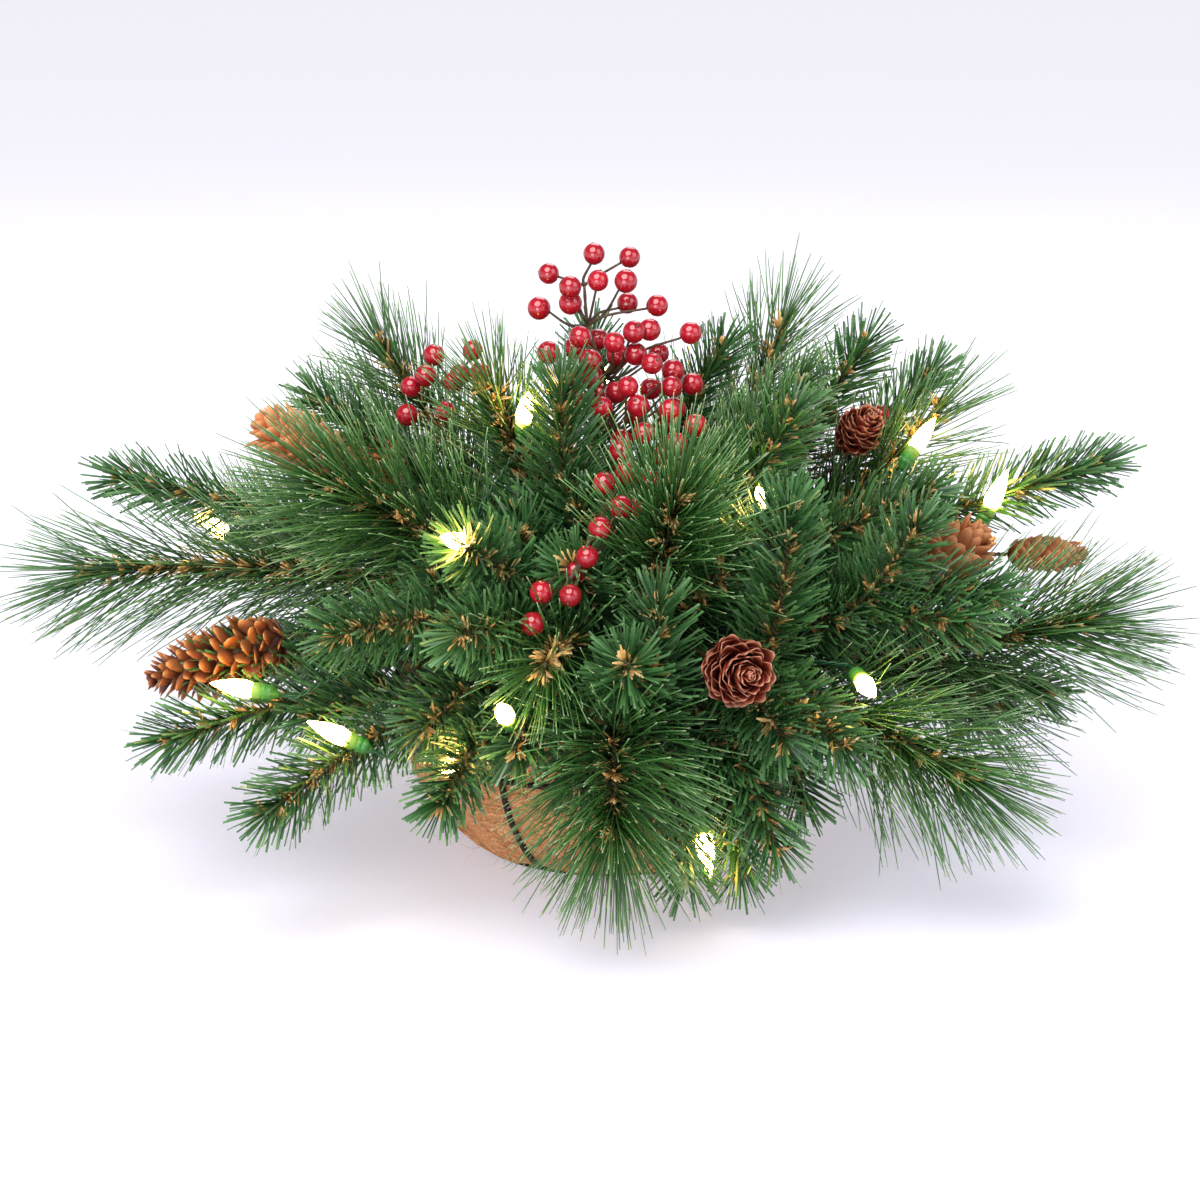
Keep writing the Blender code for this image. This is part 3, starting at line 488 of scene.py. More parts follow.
class Strands:
    """Closed tubes along paths, gathered into one mesh."""

    def __init__(self, name):
        self.name = name
        self.random = rng_for(name)
        self.verts, self.faces, self.maps = [], [], []
        self.total = 0

    def add(self, paths, wide, high=None, up=None, sides=3, slot=0, lanes=(0, LANES),
            cup=0.0, loop=False, smooth=True):
        """paths is strands x steps x 3. wide and high are the half sizes across the path, as numbers or
        arrays of strands x steps. up is each strand's own top side. cup bends the section into a trough."""
        paths = np.asarray(paths, float)
        if paths.ndim == 2:
            paths = paths[None]
        count, steps = paths.shape[:2]
        wide = np.broadcast_to(np.asarray(wide, float), (count, steps))
        high = wide if high is None else np.broadcast_to(np.asarray(high, float), (count, steps))
        if loop:
            ahead = unit(np.roll(paths, -1, 1) - np.roll(paths, 1, 1))
        else:
            ahead = unit(np.gradient(paths, axis=1))
        up = np.array((0, 0, 1.0)) if up is None else np.asarray(up, float)
        up = np.broadcast_to(up.reshape(-1, 1, 3) if up.ndim < 3 else up, paths.shape)
        side = unit(np.cross(ahead, up))
        top = np.cross(side, ahead)
        turn = 2 * np.pi * (np.arange(sides) + 0.5) / sides
        across = wide[:, :, None] * np.cos(turn)
        rise = high[:, :, None] * np.sin(turn) - cup * across**2 / np.maximum(wide[:, :, None], 1e-9)
        points = paths[:, :, None] + side[:, :, None] * across[..., None] + top[:, :, None] * rise[..., None]
        at = self.total + np.arange(count * steps * sides).reshape(count, steps, sides)
        self.total += at.size
        self.verts.append(points.reshape(-1, 3))
        lane = self.random.integers(lanes[0], lanes[1], count)
        self.side_faces(at, lane, slot, loop, smooth)
        if not loop:
            self.end_faces(at, lane, slot, smooth)

    def side_faces(self, at, lane, slot, loop, smooth):
        count, steps, sides = at.shape
        after = np.roll(at, -1, 2)
        ahead = np.roll(at, -1, 1) if loop else at[:, 1:]
        ahead_after = np.roll(after, -1, 1) if loop else after[:, 1:]
        runs = ahead.shape[1]
        quads = np.stack([at[:, :runs], ahead, ahead_after, after[:, :runs]], -1)
        u = np.arange(runs + 1) / runs
        low_u, high_u = np.broadcast_arrays(u[:-1, None], u[1:, None] + np.zeros((1, sides)))
        v = (np.arange(sides + 1) / sides * 0.8 + 0.1)
        low_v, high_v = np.broadcast_arrays(v[None, :-1] + np.zeros((runs, 1)), v[None, 1:])
        corner_u = np.stack([low_u, high_u, high_u, low_u], -1)[None]
        corner_v = np.stack([low_v, low_v, high_v, high_v], -1)[None] + lane[:, None, None, None]
        uv = np.stack(np.broadcast_arrays(corner_u, corner_v / LANES), -1)
        self.faces.append((quads.reshape(-1, 4), slot, smooth))
        self.maps.append(uv.reshape(-1, 2))

    def end_faces(self, at, lane, slot, smooth):
        count, steps, sides = at.shape
        spread = 0.1 + 0.8 * np.arange(sides) / sides
        for ring, u in ((at[:, 0], 0.0), (at[:, -1, ::-1], 1.0)):
            step = 0.012 * (np.arange(sides) % 2) * (1 if u == 0 else -1)
            uv = np.empty((count, sides, 2))
            uv[..., 0] = u + step
            uv[..., 1] = (lane[:, None] + spread) / LANES
            self.faces.append((ring, slot, smooth))
            self.maps.append(uv.reshape(-1, 2))

    def build(self, materials, slot=None, replaced=(), body=ROOT_BODY):
        """Makes the mesh. No point of it is lower than just above the floor."""
        verts = np.concatenate(self.verts)
        verts[:, 2] = np.maximum(verts[:, 2], FLOOR_CLEARANCE)
        mesh = bpy.data.meshes.new(self.name)
        mesh.vertices.add(len(verts))
        mesh.vertices.foreach_set("co", verts.astype(np.float32).ravel())
        loops = np.concatenate([faces.ravel() for faces, _, _ in self.faces]).astype(np.int32)
        rows = [np.full((len(faces), 3), (faces.shape[1], index, flag)) for faces, index, flag in self.faces]
        sizes, slots, smooth = np.concatenate(rows).T.astype(np.int32, order="C")
        mesh.loops.add(len(loops))
        mesh.loops.foreach_set("vertex_index", loops)
        mesh.polygons.add(len(sizes))
        mesh.polygons.foreach_set("loop_start", (np.cumsum(sizes) - sizes).astype(np.int32))
        mesh.polygons.foreach_set("material_index", slots)
        mesh.polygons.foreach_set("use_smooth", smooth.astype(bool))
        mesh.update(calc_edges=True)
        layer = mesh.uv_layers.new(name=STRAND_MAP)
        layer.uv.foreach_set("vector", np.concatenate(self.maps).astype(np.float32).ravel())
        for look in materials:
            mesh.materials.append(look)
        place_piece(self.name, mesh, replaced, body)


def add_object(name, data):
    thing = bpy.data.objects.new(name, data)
    bpy.context.scene.collection.objects.link(thing)
    return thing


def place_piece(name, mesh, replaced=(), body=ROOT_BODY):
    piece = add_object(name, mesh)
    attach(piece, body)
    if replaced:
        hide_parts(*replaced)


# ---- places and paths

def along(azimuth, elevation):
    a, e = math.radians(azimuth), math.radians(elevation)
    return np.array((math.cos(a) * math.cos(e), math.sin(a) * math.cos(e), math.sin(e)))


def at_reach(azimuth, reach, height):
    return along(azimuth, 0) * reach + np.array((0, 0, height))


def box_of(node):
    """The low and high corners of a CAD node's box."""
    return (np.array(corner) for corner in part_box(node))


def bowl_radius_at(height, off=0.0):
    return np.sqrt((BOWL_RADIUS + off) ** 2 - (np.asarray(height) - BOWL_CENTRE_HEIGHT) ** 2)


def dome_point(azimuth, elevation, off=0.0):
    """Where a ray from the middle of the rim leaves the foam's dome, and off metres beyond."""
    ray = along(azimuth, elevation)
    reach = 1 / math.hypot(math.hypot(ray[0], ray[1]) / FOAM_RADIUS, ray[2] / FOAM_RISE)
    return np.array((0, 0, RIM_HEIGHT)) + ray * (reach + off)


def smooth_path(start, ray, end, steps=48):
    handle = start + ray * np.linalg.norm(end - start) * LEAD_OUT
    t = np.linspace(0, 1, steps + 1)[:, None]
    return start * (1 - t) ** 2 + handle * 2 * t * (1 - t) + end * t**2


def through(points, steps):
    """A smooth curve through these points (Catmull-Rom)."""
    points = np.asarray(points, float)
    padded = np.vstack([2 * points[0] - points[1], points, 2 * points[-1] - points[-2]])
    t = np.linspace(0, len(points) - 1, steps)
    k = np.minimum(t.astype(int), len(points) - 2)
    f = (t - k)[:, None]
    a, b, c, d = (padded[k + offset] for offset in range(4))
    return 0.5 * (2 * b + (c - a) * f + (2 * a - 5 * b + 4 * c - d) * f**2 + (3 * b - a - 3 * c + d) * f**3)


class Stem:
    """A path that can be read at any distance along it."""

    def __init__(self, points):
        self.points = np.asarray(points, float)
        runs = np.linalg.norm(np.diff(self.points, axis=0), axis=1)
        self.reach = np.concatenate([[0], np.cumsum(runs)])
        self.length = self.reach[-1]
        self.ahead = unit(np.gradient(self.points, axis=0))
        lift = np.array((0, 0, 1.0)) if abs(self.ahead[:, 2]).max() < 0.9 else np.array((1.0, 0.2, 0))
        self.side = unit(np.cross(self.ahead, lift))
        self.top = np.cross(self.side, self.ahead)

    def read(self, distances):
        """Place, direction, side and top at these distances."""
        rows = [
            np.stack([np.interp(distances, self.reach, values[:, axis]) for axis in range(3)], -1)
            for values in (self.points, self.ahead, self.side, self.top)
        ]
        return rows[0], unit(rows[1]), unit(rows[2]), unit(rows[3])

    def outwards(self, distances, turn):
        """Place, direction along the stem, and the direction away from it at this turn about it."""
        place, ahead, side, top = self.read(distances)
        return place, ahead, side * np.cos(turn)[:, None] + top * np.sin(turn)[:, None]


def straws(root, way, curl, length, steps):
    """Paths that start along way and bend by curl."""
    t = np.linspace(0, 1, steps)[None, :, None]
    length = np.asarray(length)[:, None, None]
    return root[:, None] + way[:, None] * length * t + curl[:, None] * length * t**2


# ---- foliage

def lean(ahead, out, angle):
    return ahead * np.cos(angle)[:, None] + out * np.sin(angle)[:, None]


# Needles of each kind. Angles from the stem, in degrees, and tapers are knots along the stem and values;
# the ranges are lengths, forward curl and half width in metres or shares; strays are standard deviations.
NEEDLES = {
    LONG: {
        "per_mm": 3.3, "angles": ([0, 0.6, 0.9, 1], [52, 44, 34, 18]), "angle_stray": 7, "stray": 0.05,
        "reach": 1.0, "lengths": (0.056, 0.077), "taper": ([0, 0.2, 0.7, 1], [0.8, 1, 0.94, 0.68]),
        "forward": (0.0, 0.2), "bend": 0.035, "droop": 0.03, "off_stem": 0.001,
        "half_width": (0.00030, 0.00040), "profile": [1.1, 1.1, 1.05, 0.95, 0.7], "flat": 0.0, "tilt": 1.0,
        "section": {"sides": 3},
    },
    SHORT: {
        "per_mm": 3.7, "angles": ([0, 0.75, 0.95, 1], [60, 53, 40, 22]), "angle_stray": 5, "stray": 0.03,
        "reach": 0.026, "lengths": (0.88, 1.08), "taper": ([0, 0.15, 0.85, 1], [0.9, 1.05, 0.95, 0.78]),
        "forward": (-0.02, 0.16), "bend": 0.025, "droop": 0.0, "off_stem": 0.0006,
        "half_width": (0.00066, 0.00094), "profile": [0.9, 1, 1, 0.92], "flat": 1.0, "tilt": 0.4,
        "section": {"high": 0.00011, "sides": 4, "smooth": False},
    },
}
BUNDLES = 22


def add_needles(piece, stem, start, kind, fullness, opening, size):
    """Round needles in bundles round the stem, or flat strips that stand off it like a brush."""
    random, of = piece.random, NEEDLES[kind]
    count = int((stem.length - start) * 1000 * (of["per_mm"] * fullness))
    if kind == LONG:
        share = np.sort(random.uniform(0, 1, count)) ** 0.82
        share = np.clip(np.round(share * BUNDLES) / BUNDLES + random.normal(0, 0.012, count), 0, 1)
        turn = random.uniform(0, 2 * np.pi, count)
    else:
        share = (np.arange(count) + random.uniform(0, 1, count)) / count
        turn = np.arange(count) * GOLDEN_ANGLE + random.normal(0, 0.25, count)
    place, ahead, out = stem.outwards(start + (stem.length - start) * share, turn)
    angle = np.interp(share, *of["angles"]) * opening + random.normal(0, of["angle_stray"], count)
    way = unit(lean(ahead, out, np.radians(angle)) + random.normal(0, of["stray"], (count, 3)))
    length = size * of["reach"] * random.uniform(*of["lengths"], count) * np.interp(share, *of["taper"])
    curl = ahead * random.uniform(*of["forward"], (count, 1)) + random.normal(0, of["bend"], (count, 3))
    curl[:, 2] -= of["droop"]
    paths = straws(place + out * of["off_stem"], way, curl, length, len(of["profile"]))
    wide = random.uniform(*of["half_width"], count)[:, None] * np.array(of["profile"])
    up = ahead * of["flat"] + random.normal(0, of["tilt"], (count, 3))
    piece.add(paths, wide, up=up, **of["section"])


# Tufts of bud scales: the distance between them, the length of a scale, and the scales to a tuft.
BUDS = {LONG: (0.0062, 0.0068, 14), SHORT: (0.0066, 0.0060, 12)}


def add_buds(piece, stem, start, spacing, scale_length, per_tuft):
    """Tufts of short papery bud scales, on one side of the stem and then the other."""
    random = piece.random
    tufts = max(int((stem.length - start) / spacing), 2)
    distance = np.linspace(start, stem.length, tufts).repeat(per_tuft)
    turn = (np.arange(tufts) * GOLDEN_ANGLE).repeat(per_tuft) + random.normal(0, 0.75, tufts * per_tuft)
    place, ahead, out = stem.outwards(distance + random.normal(0, spacing / 7, len(distance)), turn)
    angle = np.radians(random.uniform(18, 78, len(distance)))
    way = unit(lean(ahead, out, angle) + random.normal(0, 0.12, (len(distance), 3)))
    curl = out * random.uniform(-0.3, 0.35, (len(distance), 1)) + random.normal(0, 0.1, (len(distance), 3))
    length = scale_length * random.uniform(0.7, 1.25, len(distance))
    paths = straws(place + out * 0.0014, way, curl, length, 4)
    wide = random.uniform(0.0010, 0.0015, len(distance))[:, None] * np.array([0.8, 1, 0.9, 0.4])
    piece.add(paths, wide, 0.00014, up=out, sides=4, slot=1, lanes=BUD_LANES, cup=0.25)


def add_twisted_wire(piece, stem, strand_radius, pitch=0.006, slot=0, lanes=(0, LANES)):
    """Two wires laid round each other along the stem."""
    steps = max(int(stem.length / pitch * 7), 8)
    distance = np.linspace(0, stem.length, steps)
    place, ahead, side, top = stem.read(distance)
    for phase in (0, math.pi):
        turn = 2 * np.pi * distance / pitch + phase
        path = place + (side * np.cos(turn)[:, None] + top * np.sin(turn)[:, None]) * strand_radius
        piece.add(path, strand_radius, up=top[None], sides=5, slot=slot, lanes=lanes)


def branch_stem(name, root, end):
    ray, mouth = along(*root), dome_point(*root)
    if name in BENDING:
        start = mouth + ray * (BEND_ABOVE_FOAM + BEND_GAP / 2)
        return Stem(smooth_path(start, ray, end))
    start = mouth + ray * BEND_ABOVE_FOAM
    return Stem(np.vstack([mouth - ray * INTO_FOAM, smooth_path(start, ray, end)]))


def kind_of(name):
    return LONG if name.startswith("long") or name in LONG_TIPS else SHORT


# How full some branches are, how wide their needles open and how long those are, where that isn't 1.
FULLNESS = {
    "long_branch_left": (0.8, 1, 0.96),
    "long_branch_low_front": (1.9, 1.2, 0.92),
    "long_branch_upper_left": (1.3, 1, 1),
    "long_branch_top_left": (0.75, 0.95, 0.8),
    "long_branch_top_right": (0.55, 0.9, 0.82),
    "long_branch_upper_right": (0.6, 0.9, 0.82),
    "long_branch_front_middle": (1.5, 0.9, 0.95),
    "long_branch_low_right": (1.25, 1.05, 0.92),
    "long_branch_front_left": (0.55, 0.9, 0.8),
    "long_branch_tall_left": (0.7, 0.85, 0.8),
    "long_branch_tall_right": (1.5, 1.15, 0.5),
    "tip_low_right": (0.6, 1, 0.8),
    "short_branch_front_low": (1.3, 1, 0.92),
    "short_branch_centre": (1.3, 1, 1.1),
    "short_branch_front_right": (1.3, 1, 1.15),
    "short_branch_right_middle": (1, 1, 0.95),
}


def grow(needles, core, stem, name, bare=0.16, thin=1.0):
    """One tip: its needles, then its twisted wire with the bud scales."""
    start = stem.length * bare
    add_twisted_wire(core, stem, 0.0009, lanes=WIRE_LANES)
    fullness, opening, size = FULLNESS.get(name, (1, 1, 1))
    kind = kind_of(name)
    add_needles(needles, stem, start, kind, fullness * thin, opening, size)
    add_buds(core, stem, start, *BUDS[kind])


def build_foliage(needles, core, kind, replaced=(), body=ROOT_BODY):
    needles.build([looks[kind]], kind, replaced, body)
    core.build([looks["stem_wire"], looks["bud_scale"]], "stem_wire", (), body)


def make_foliage(name, root, end, replaced=()):
    needles, core = Strands(name + "_needles"), Strands(name + "_stem")
    grow(needles, core, branch_stem(name, root, end), name)
    build_foliage(needles, core, kind_of(name), replaced, name if name in BENDING else ROOT_BODY)


def make_all_foliage():
    for name, *root, azimuth, reach, height in BRANCHES:
        make_foliage(name, root, at_reach(azimuth, reach, height), [name])
    for name, *root, end in TIPS:
        make_foliage(name, root, np.array(end) / 1000)


FILLERS = 34
FILLER_GROUPS = 4
CASE_CLEAR = 0.014


def make_fillers():
    """Short tips over the dome, so that the depth between the branches is green."""
    low, high = box_of("battery_case")
    needles = [Strands(f"filler_needles_{group + 1}") for group in range(FILLER_GROUPS)]
    cores = [Strands(f"filler_stems_{group + 1}") for group in range(FILLER_GROUPS)]
    for index in range(FILLERS):
        name = f"filler_tip_{index + 1}"
        random = rng_for(name)
        azimuth = math.degrees(index * GOLDEN_ANGLE)
        elevation = 6 + 70 * ((index + 0.5) / FILLERS) ** 0.9
        mouth = dome_point(azimuth, elevation)
        if np.all(mouth[:2] > low[:2] - CASE_CLEAR) and np.all(mouth[:2] < high[:2] + CASE_CLEAR):
            continue
        way = along(azimuth + random.uniform(-14, 14), elevation + random.uniform(-10, 16))
        stem = branch_stem(name, (azimuth, elevation), mouth + way * random.uniform(0.048, 0.072))
        group = index % FILLER_GROUPS
        grow(needles[group], cores[group], stem, name, 0.12, 0.85)
    for group_needles, group_core in zip(needles, cores):
        build_foliage(group_needles, group_core, SHORT)


# ---- cones

# For each look: how many scales, the angle between scale and axis at the base and at the tip, their width and
# thickness as shares of the cone's radius, how much they wrap round the cone, and their curl at the end.
CONE_LOOKS = {
    "rosette": {"scales": 120, "angles": (80, 10), "width": 0.44, "thick": 0.016, "cup": 0.55, "curl": -0.12},
    "open": {"scales": 132, "angles": (84, 34), "width": 0.30, "thick": 0.024, "cup": 0.28, "curl": 0.2},
    "pale": {"scales": 84, "angles": (76, 20), "width": 0.40, "thick": 0.046, "cup": 0.34, "curl": 0.06},
    "closed": {"scales": 84, "angles": (60, 16), "width": 0.40, "thick": 0.060, "cup": 0.40, "curl": -0.04},
}
CONE_OUTLINE = [(0.0, 0.55), (0.08, 0.78), (0.3, 1.0), (0.6, 0.88), (0.85, 0.58), (1.0, 0.2)]


def make_cone(name, *row):
    *root, azimuth, reach, height, turn, lift, length, width, look = row
    piece = Strands(name + "_scales")
    random = piece.random
    shape = CONE_LOOKS[look]
    base, axis = at_reach(azimuth, reach, height), along(turn, lift)
    add_pick(piece, root, base, axis)
    count = shape["scales"]
    share = (np.arange(count) + 0.5) / count
    spin = np.arange(count) * GOLDEN_ANGLE
    side = unit(np.cross(axis, (0.3, 0.2, 1.0)))
    top = np.cross(side, axis)
    out = side * np.cos(spin)[:, None] + top * np.sin(spin)[:, None]
    radius = width / 2 * np.interp(share, *zip(*CONE_OUTLINE))
    angle = np.radians(np.interp(share, [0, 1], shape["angles"]) + random.normal(0, 3, count))
    reach_out = radius * 0.78
    scale_length = reach_out / np.maximum(np.sin(angle), 0.42)
    start_height = length * share - scale_length * np.cos(angle) * 0.72
    start = base + axis * np.maximum(start_height, 0)[:, None] + out * (radius * 0.2)[:, None]
    way = lean(axis[None], out, angle)
    curl = out * shape["curl"] + axis * 0.14
    scale_length = scale_length * random.uniform(0.94, 1.06, count)
    paths = straws(start, way, curl + random.normal(0, 0.05, (count, 3)), scale_length, 8)
    profile = np.array([0.34, 0.5, 0.72, 0.9, 1.0, 0.94, 0.68, 0.22])
    thickness = np.array([0.8, 0.9, 1.0, 1.1, 1.3, 1.3, 1.0, 0.4])
    wide = shape["width"] * np.maximum(radius, width * 0.24) * random.uniform(0.92, 1.08, count)
    high = shape["thick"] * width / 2 * thickness
    wide = wide[:, None] * profile
    wide = wide * (1 + 0.07 * random.normal(0, 1, wide.shape) * (np.arange(8) > 3))
    up = unit(out + axis * 0.3 + random.normal(0, 0.12, (count, 3)))
    piece.add(paths, wide, high, up=up, sides=10, lanes=SCALE_LANES, cup=shape["cup"])
    core_share = np.linspace(0, 0.94, 12)
    core = base + axis * length * core_share[:, None]
    core_radius = width / 2 * 0.46 * np.interp(core_share, *zip(*CONE_OUTLINE))
    piece.add(core, core_radius[None], up=side, sides=12, lanes=CORE_LANES)
    piece.build([looks["cone_scale_" + look], looks["stem_wire"]], "cone_scale", cad_node(name))


def cad_node(name):
    """What a piece of this name replaces: the CAD node, or nothing where the CAD model has none."""
    return [name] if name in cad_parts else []


def add_pick(piece, root, base, axis):
    """The wire that holds a cone."""
    ray, mouth = along(*root), dome_point(*root)
    curve = smooth_path(mouth + ray * BEND_ABOVE_FOAM, ray, base - axis * CONE_NECK, 20)
    path = np.vstack([mouth - ray * INTO_FOAM, curve, base + axis * INTO_CONE])
    add_twisted_wire(piece, Stem(path), 0.00065, 0.005, 1, PICK_LANES)


# ---- berries

def nearest_on(points, place):
    below = [point for point in points if point[2] < place[2] - BERRY_RADIUS] or list(points[:1])
    return min(below, key=lambda point: np.linalg.norm(point - place))


def make_spray(name, root, stem, berries):
    """A spray's wire, a curved twig to each berry, and the berries."""
    berries = np.array(berries + MORE_BERRIES.get(name, [])) / 1000
    piece = Strands(name + "_berries")
    random = piece.random
    ray, mouth = along(*root), dome_point(*root)
    knots = np.vstack([mouth - ray * INTO_FOAM, mouth + ray * BEND_ABOVE_FOAM, np.array(stem) / 1000])
    main = through(knots, 60)
    thickness = np.linspace(1.0, 0.62, 60) * (1 + 0.12 * np.sin(np.arange(60) * 1.7))
    wood = {"slot": 1, "lanes": TWIG_LANES}
    piece.add(main, (PICK_RADIUS * thickness)[None], up=(0.9, 0.3, 0.2), sides=7, **wood)
    angles = np.linspace(0.03, math.pi - 0.03, 15)
    for berry in berries:
        start = nearest_on(knots[2:], berry)
        way = unit(berry - start)
        bow = unit(random.normal(0, 1, 3)) * np.linalg.norm(berry - start) * 0.12
        end = berry - way * BERRY_RADIUS * 0.9
        twig = through([start, start * 0.6 + end * 0.4 + bow, end], 14)
        piece.add(twig, np.linspace(0.00085, 0.0006, 14)[None], up=np.cross(way, SLANT), sides=6, **wood)
        size = BERRY_RADIUS * random.uniform(0.93, 1.04)
        aim = unit(way + random.normal(0, 0.25, 3))
        # A round fruit with a dimple at its stalk and a small dark crown at the other end
        rise = -np.cos(angles) * size
        rise[-1] -= size * 0.05
        rise[0] += size * 0.08
        up = np.cross(aim, (0.2, 0.9, 0.1))
        girth = np.sin(angles) * size
        piece.add(berry + aim * rise[:, None], girth[None], up=up, sides=18, lanes=BERRY_LANES)
        crown = berry + aim * np.array([[size * 0.93], [size * 0.99], [size * 1.05]])
        piece.add(crown, np.array([[0.0009, 0.0008, 0.0003]]), up=up, sides=6, **wood)
    piece.build([looks["berry_skin"], looks["berry_twig"]], "berry", [name])


# ---- light string

def ring_point(azimuth):
    return dome_point(azimuth, CORD_ELEVATION, CORD_OFF_FOAM)


def lamps():
    """Each lamp's name, where its lead leaves the ring, its holder's back and the way it points."""
    for name, ring_azimuth, azimuth, reach, height, turn, lift in LAMPS + DEEP_LAMPS:
        yield name, ring_azimuth, at_reach(azimuth, reach, height), along(turn, lift)


def make_light_string():
    """The pair of wires round the dome, a pair to each lamp and the lamps' holders."""
    string = Strands("light_string_wires")
    holders = Strands("lamp_holders")
    ring = np.array([ring_point(azimuth) for azimuth in np.linspace(0, 360, 181)])
    add_twisted_wire(string, Stem(ring), CORD_RADIUS / 2, CORD_PITCH)
    for _, ring_azimuth, back, aim in lamps():
        start = ring_point(ring_azimuth)
        path = smooth_path(start, along(ring_azimuth, LEAD_LIFT), back - aim * LEAD_STRAIGHT, 36)
        add_twisted_wire(string, Stem(np.vstack([path, back])), CORD_RADIUS / 2, CORD_PITCH)
        add_holder(holders, back, aim)
    low, high = box_of("battery_case")
    hole = np.array((high[0], (low[1] + high[1]) / 2, high[2] - LEAD_HOLE_DEPTH))
    start = ring_point(LEAD_RING_AZIMUTH)
    rise = along(LEAD_RING_AZIMUTH, 70) * LEAD_BEND
    lead = [start, start + rise, hole + (LEAD_BEND, 0, 0), hole - (LEAD_IN_HOLE, 0, 0)]
    add_twisted_wire(string, Stem(through(lead, 40)), CORD_RADIUS / 2, CORD_PITCH)
    string.build([looks["cord_sleeve"]], "cord", ["light_string"])
    holders.build([looks["lamp_holder"]], "cord")


def add_holder(piece, back, aim):
    """A moulded socket: a tapered neck, three grip rings and a collar round the cap."""
    outline = np.array([
        (-3.5, 1.6), (-2.0, 2.1), (0.0, 3.4), (0.6, 4.0), (2.2, 4.0), (2.6, 3.6), (3.2, 3.6),
        (3.6, 4.1), (5.0, 4.1), (5.4, 3.6), (6.0, 3.6), (6.4, 4.2), (9.2, 4.2), (10.0, 3.8),
    ]) / 1000
    piece.add(back + aim * outline[:, :1], outline[None, :, 1], up=np.cross(aim, SLANT), sides=16)


def make_caps():
    """Pointed clear caps with facets cut in three tiers."""
    outline = np.array([
        (0.0, 0.80), (0.05, 0.88), (0.22, 1.0), (0.30, 0.93), (0.46, 0.86), (0.54, 0.78), (0.74, 0.52),
        (0.9, 0.26), (1.0, 0.06),
    ])
    for name, _, back, aim in lamps():
        foot = back + aim * (HOLDER_LENGTH + GAP)
        piece = Strands(name + "_lens")
        path, radii = foot + aim * CAP_LENGTH * outline[:, :1], CAP_RADIUS * outline[None, :, 1]
        piece.add(path, radii, up=np.cross(aim, SLANT), sides=8, smooth=False)
        piece.build([looks["lamp_cap"]], "lamp_cap", cad_node(name))


# ---- basket

def make_basket():
    """Round wires: rim, hoop and foot rings, and the ribs, welded where they cross."""
    piece = Strands("basket_wires")
    turns = np.linspace(0, 360, 144, endpoint=False)
    rings = ((RIM_HEIGHT, RIM_WIRE_RADIUS), (HOOP_HEIGHT, WIRE_RADIUS), (WIRE_RADIUS, WIRE_RADIUS))
    for height, radius in rings:
        reach = bowl_radius_at(height, radius - WIRE_RADIUS)
        ring = np.array([at_reach(azimuth, reach, height) for azimuth in turns])
        piece.add(ring, radius, sides=10, loop=True, lanes=RING_LANES)
    heights = np.linspace(WIRE_RADIUS, RIM_HEIGHT, 40)
    for azimuth in FIRST_RIB_AZIMUTH + np.arange(RIB_COUNT) * 360 / RIB_COUNT:
        sideways = along(azimuth + 90, 0)
        path = np.array([at_reach(azimuth, bowl_radius_at(height), height) for height in heights])
        piece.add(path, WIRE_RADIUS * 0.97, up=sideways, sides=10, lanes=RIB_LANES)
        # The weld where the rib crosses the hoop
        middle = at_reach(azimuth, bowl_radius_at(HOOP_HEIGHT), HOOP_HEIGHT)
        bead = middle + sideways * np.array([[-0.0026], [-0.0016], [0], [0.0016], [0.0026]])
        piece.add(bead, WIRE_RADIUS * np.array([[0.5, 1.2, 1.42, 1.2, 0.5]]), sides=9, lanes=RIB_LANES)
    piece.build([looks["basket_wire"]], "basket_wire", ["wire_basket"])


def swell(azimuth, height):
    """How far the coir bulges out between the wires: nothing at a wire, most in the middle of a panel."""
    from_rib = np.abs((azimuth - FIRST_RIB_AZIMUTH + 30) % 60 - 30) / 30
    height = np.asarray(height)
    from_level = np.minimum(np.abs(height - HOOP_HEIGHT), np.abs(height - RIM_HEIGHT)) / 0.014
    from_level = np.minimum(from_level, (height + 0.001) / 0.005)
    return np.sin(np.pi / 2 * np.clip(from_rib * 1.8, 0, 1)) * np.clip(from_level, 0, 1) ** 0.7


def liner_point(azimuth, height, off=0.0):
    """On the coir's outer face, in arrays of azimuths and heights."""
    azimuth, height = np.broadcast_arrays(np.asarray(azimuth, float), np.asarray(height, float))
    bulge = 0.0042 * swell(azimuth, height)
    turn = np.radians(azimuth)
    lumps = 0.0009 * np.sin(turn * 23 + height * 310) * np.sin(turn * 11 - height * 190)
    reach = bowl_radius_at(height, -WIRE_RADIUS - GAP) + bulge + lumps + off
    return np.stack([reach * np.cos(turn), reach * np.sin(turn), height], -1)


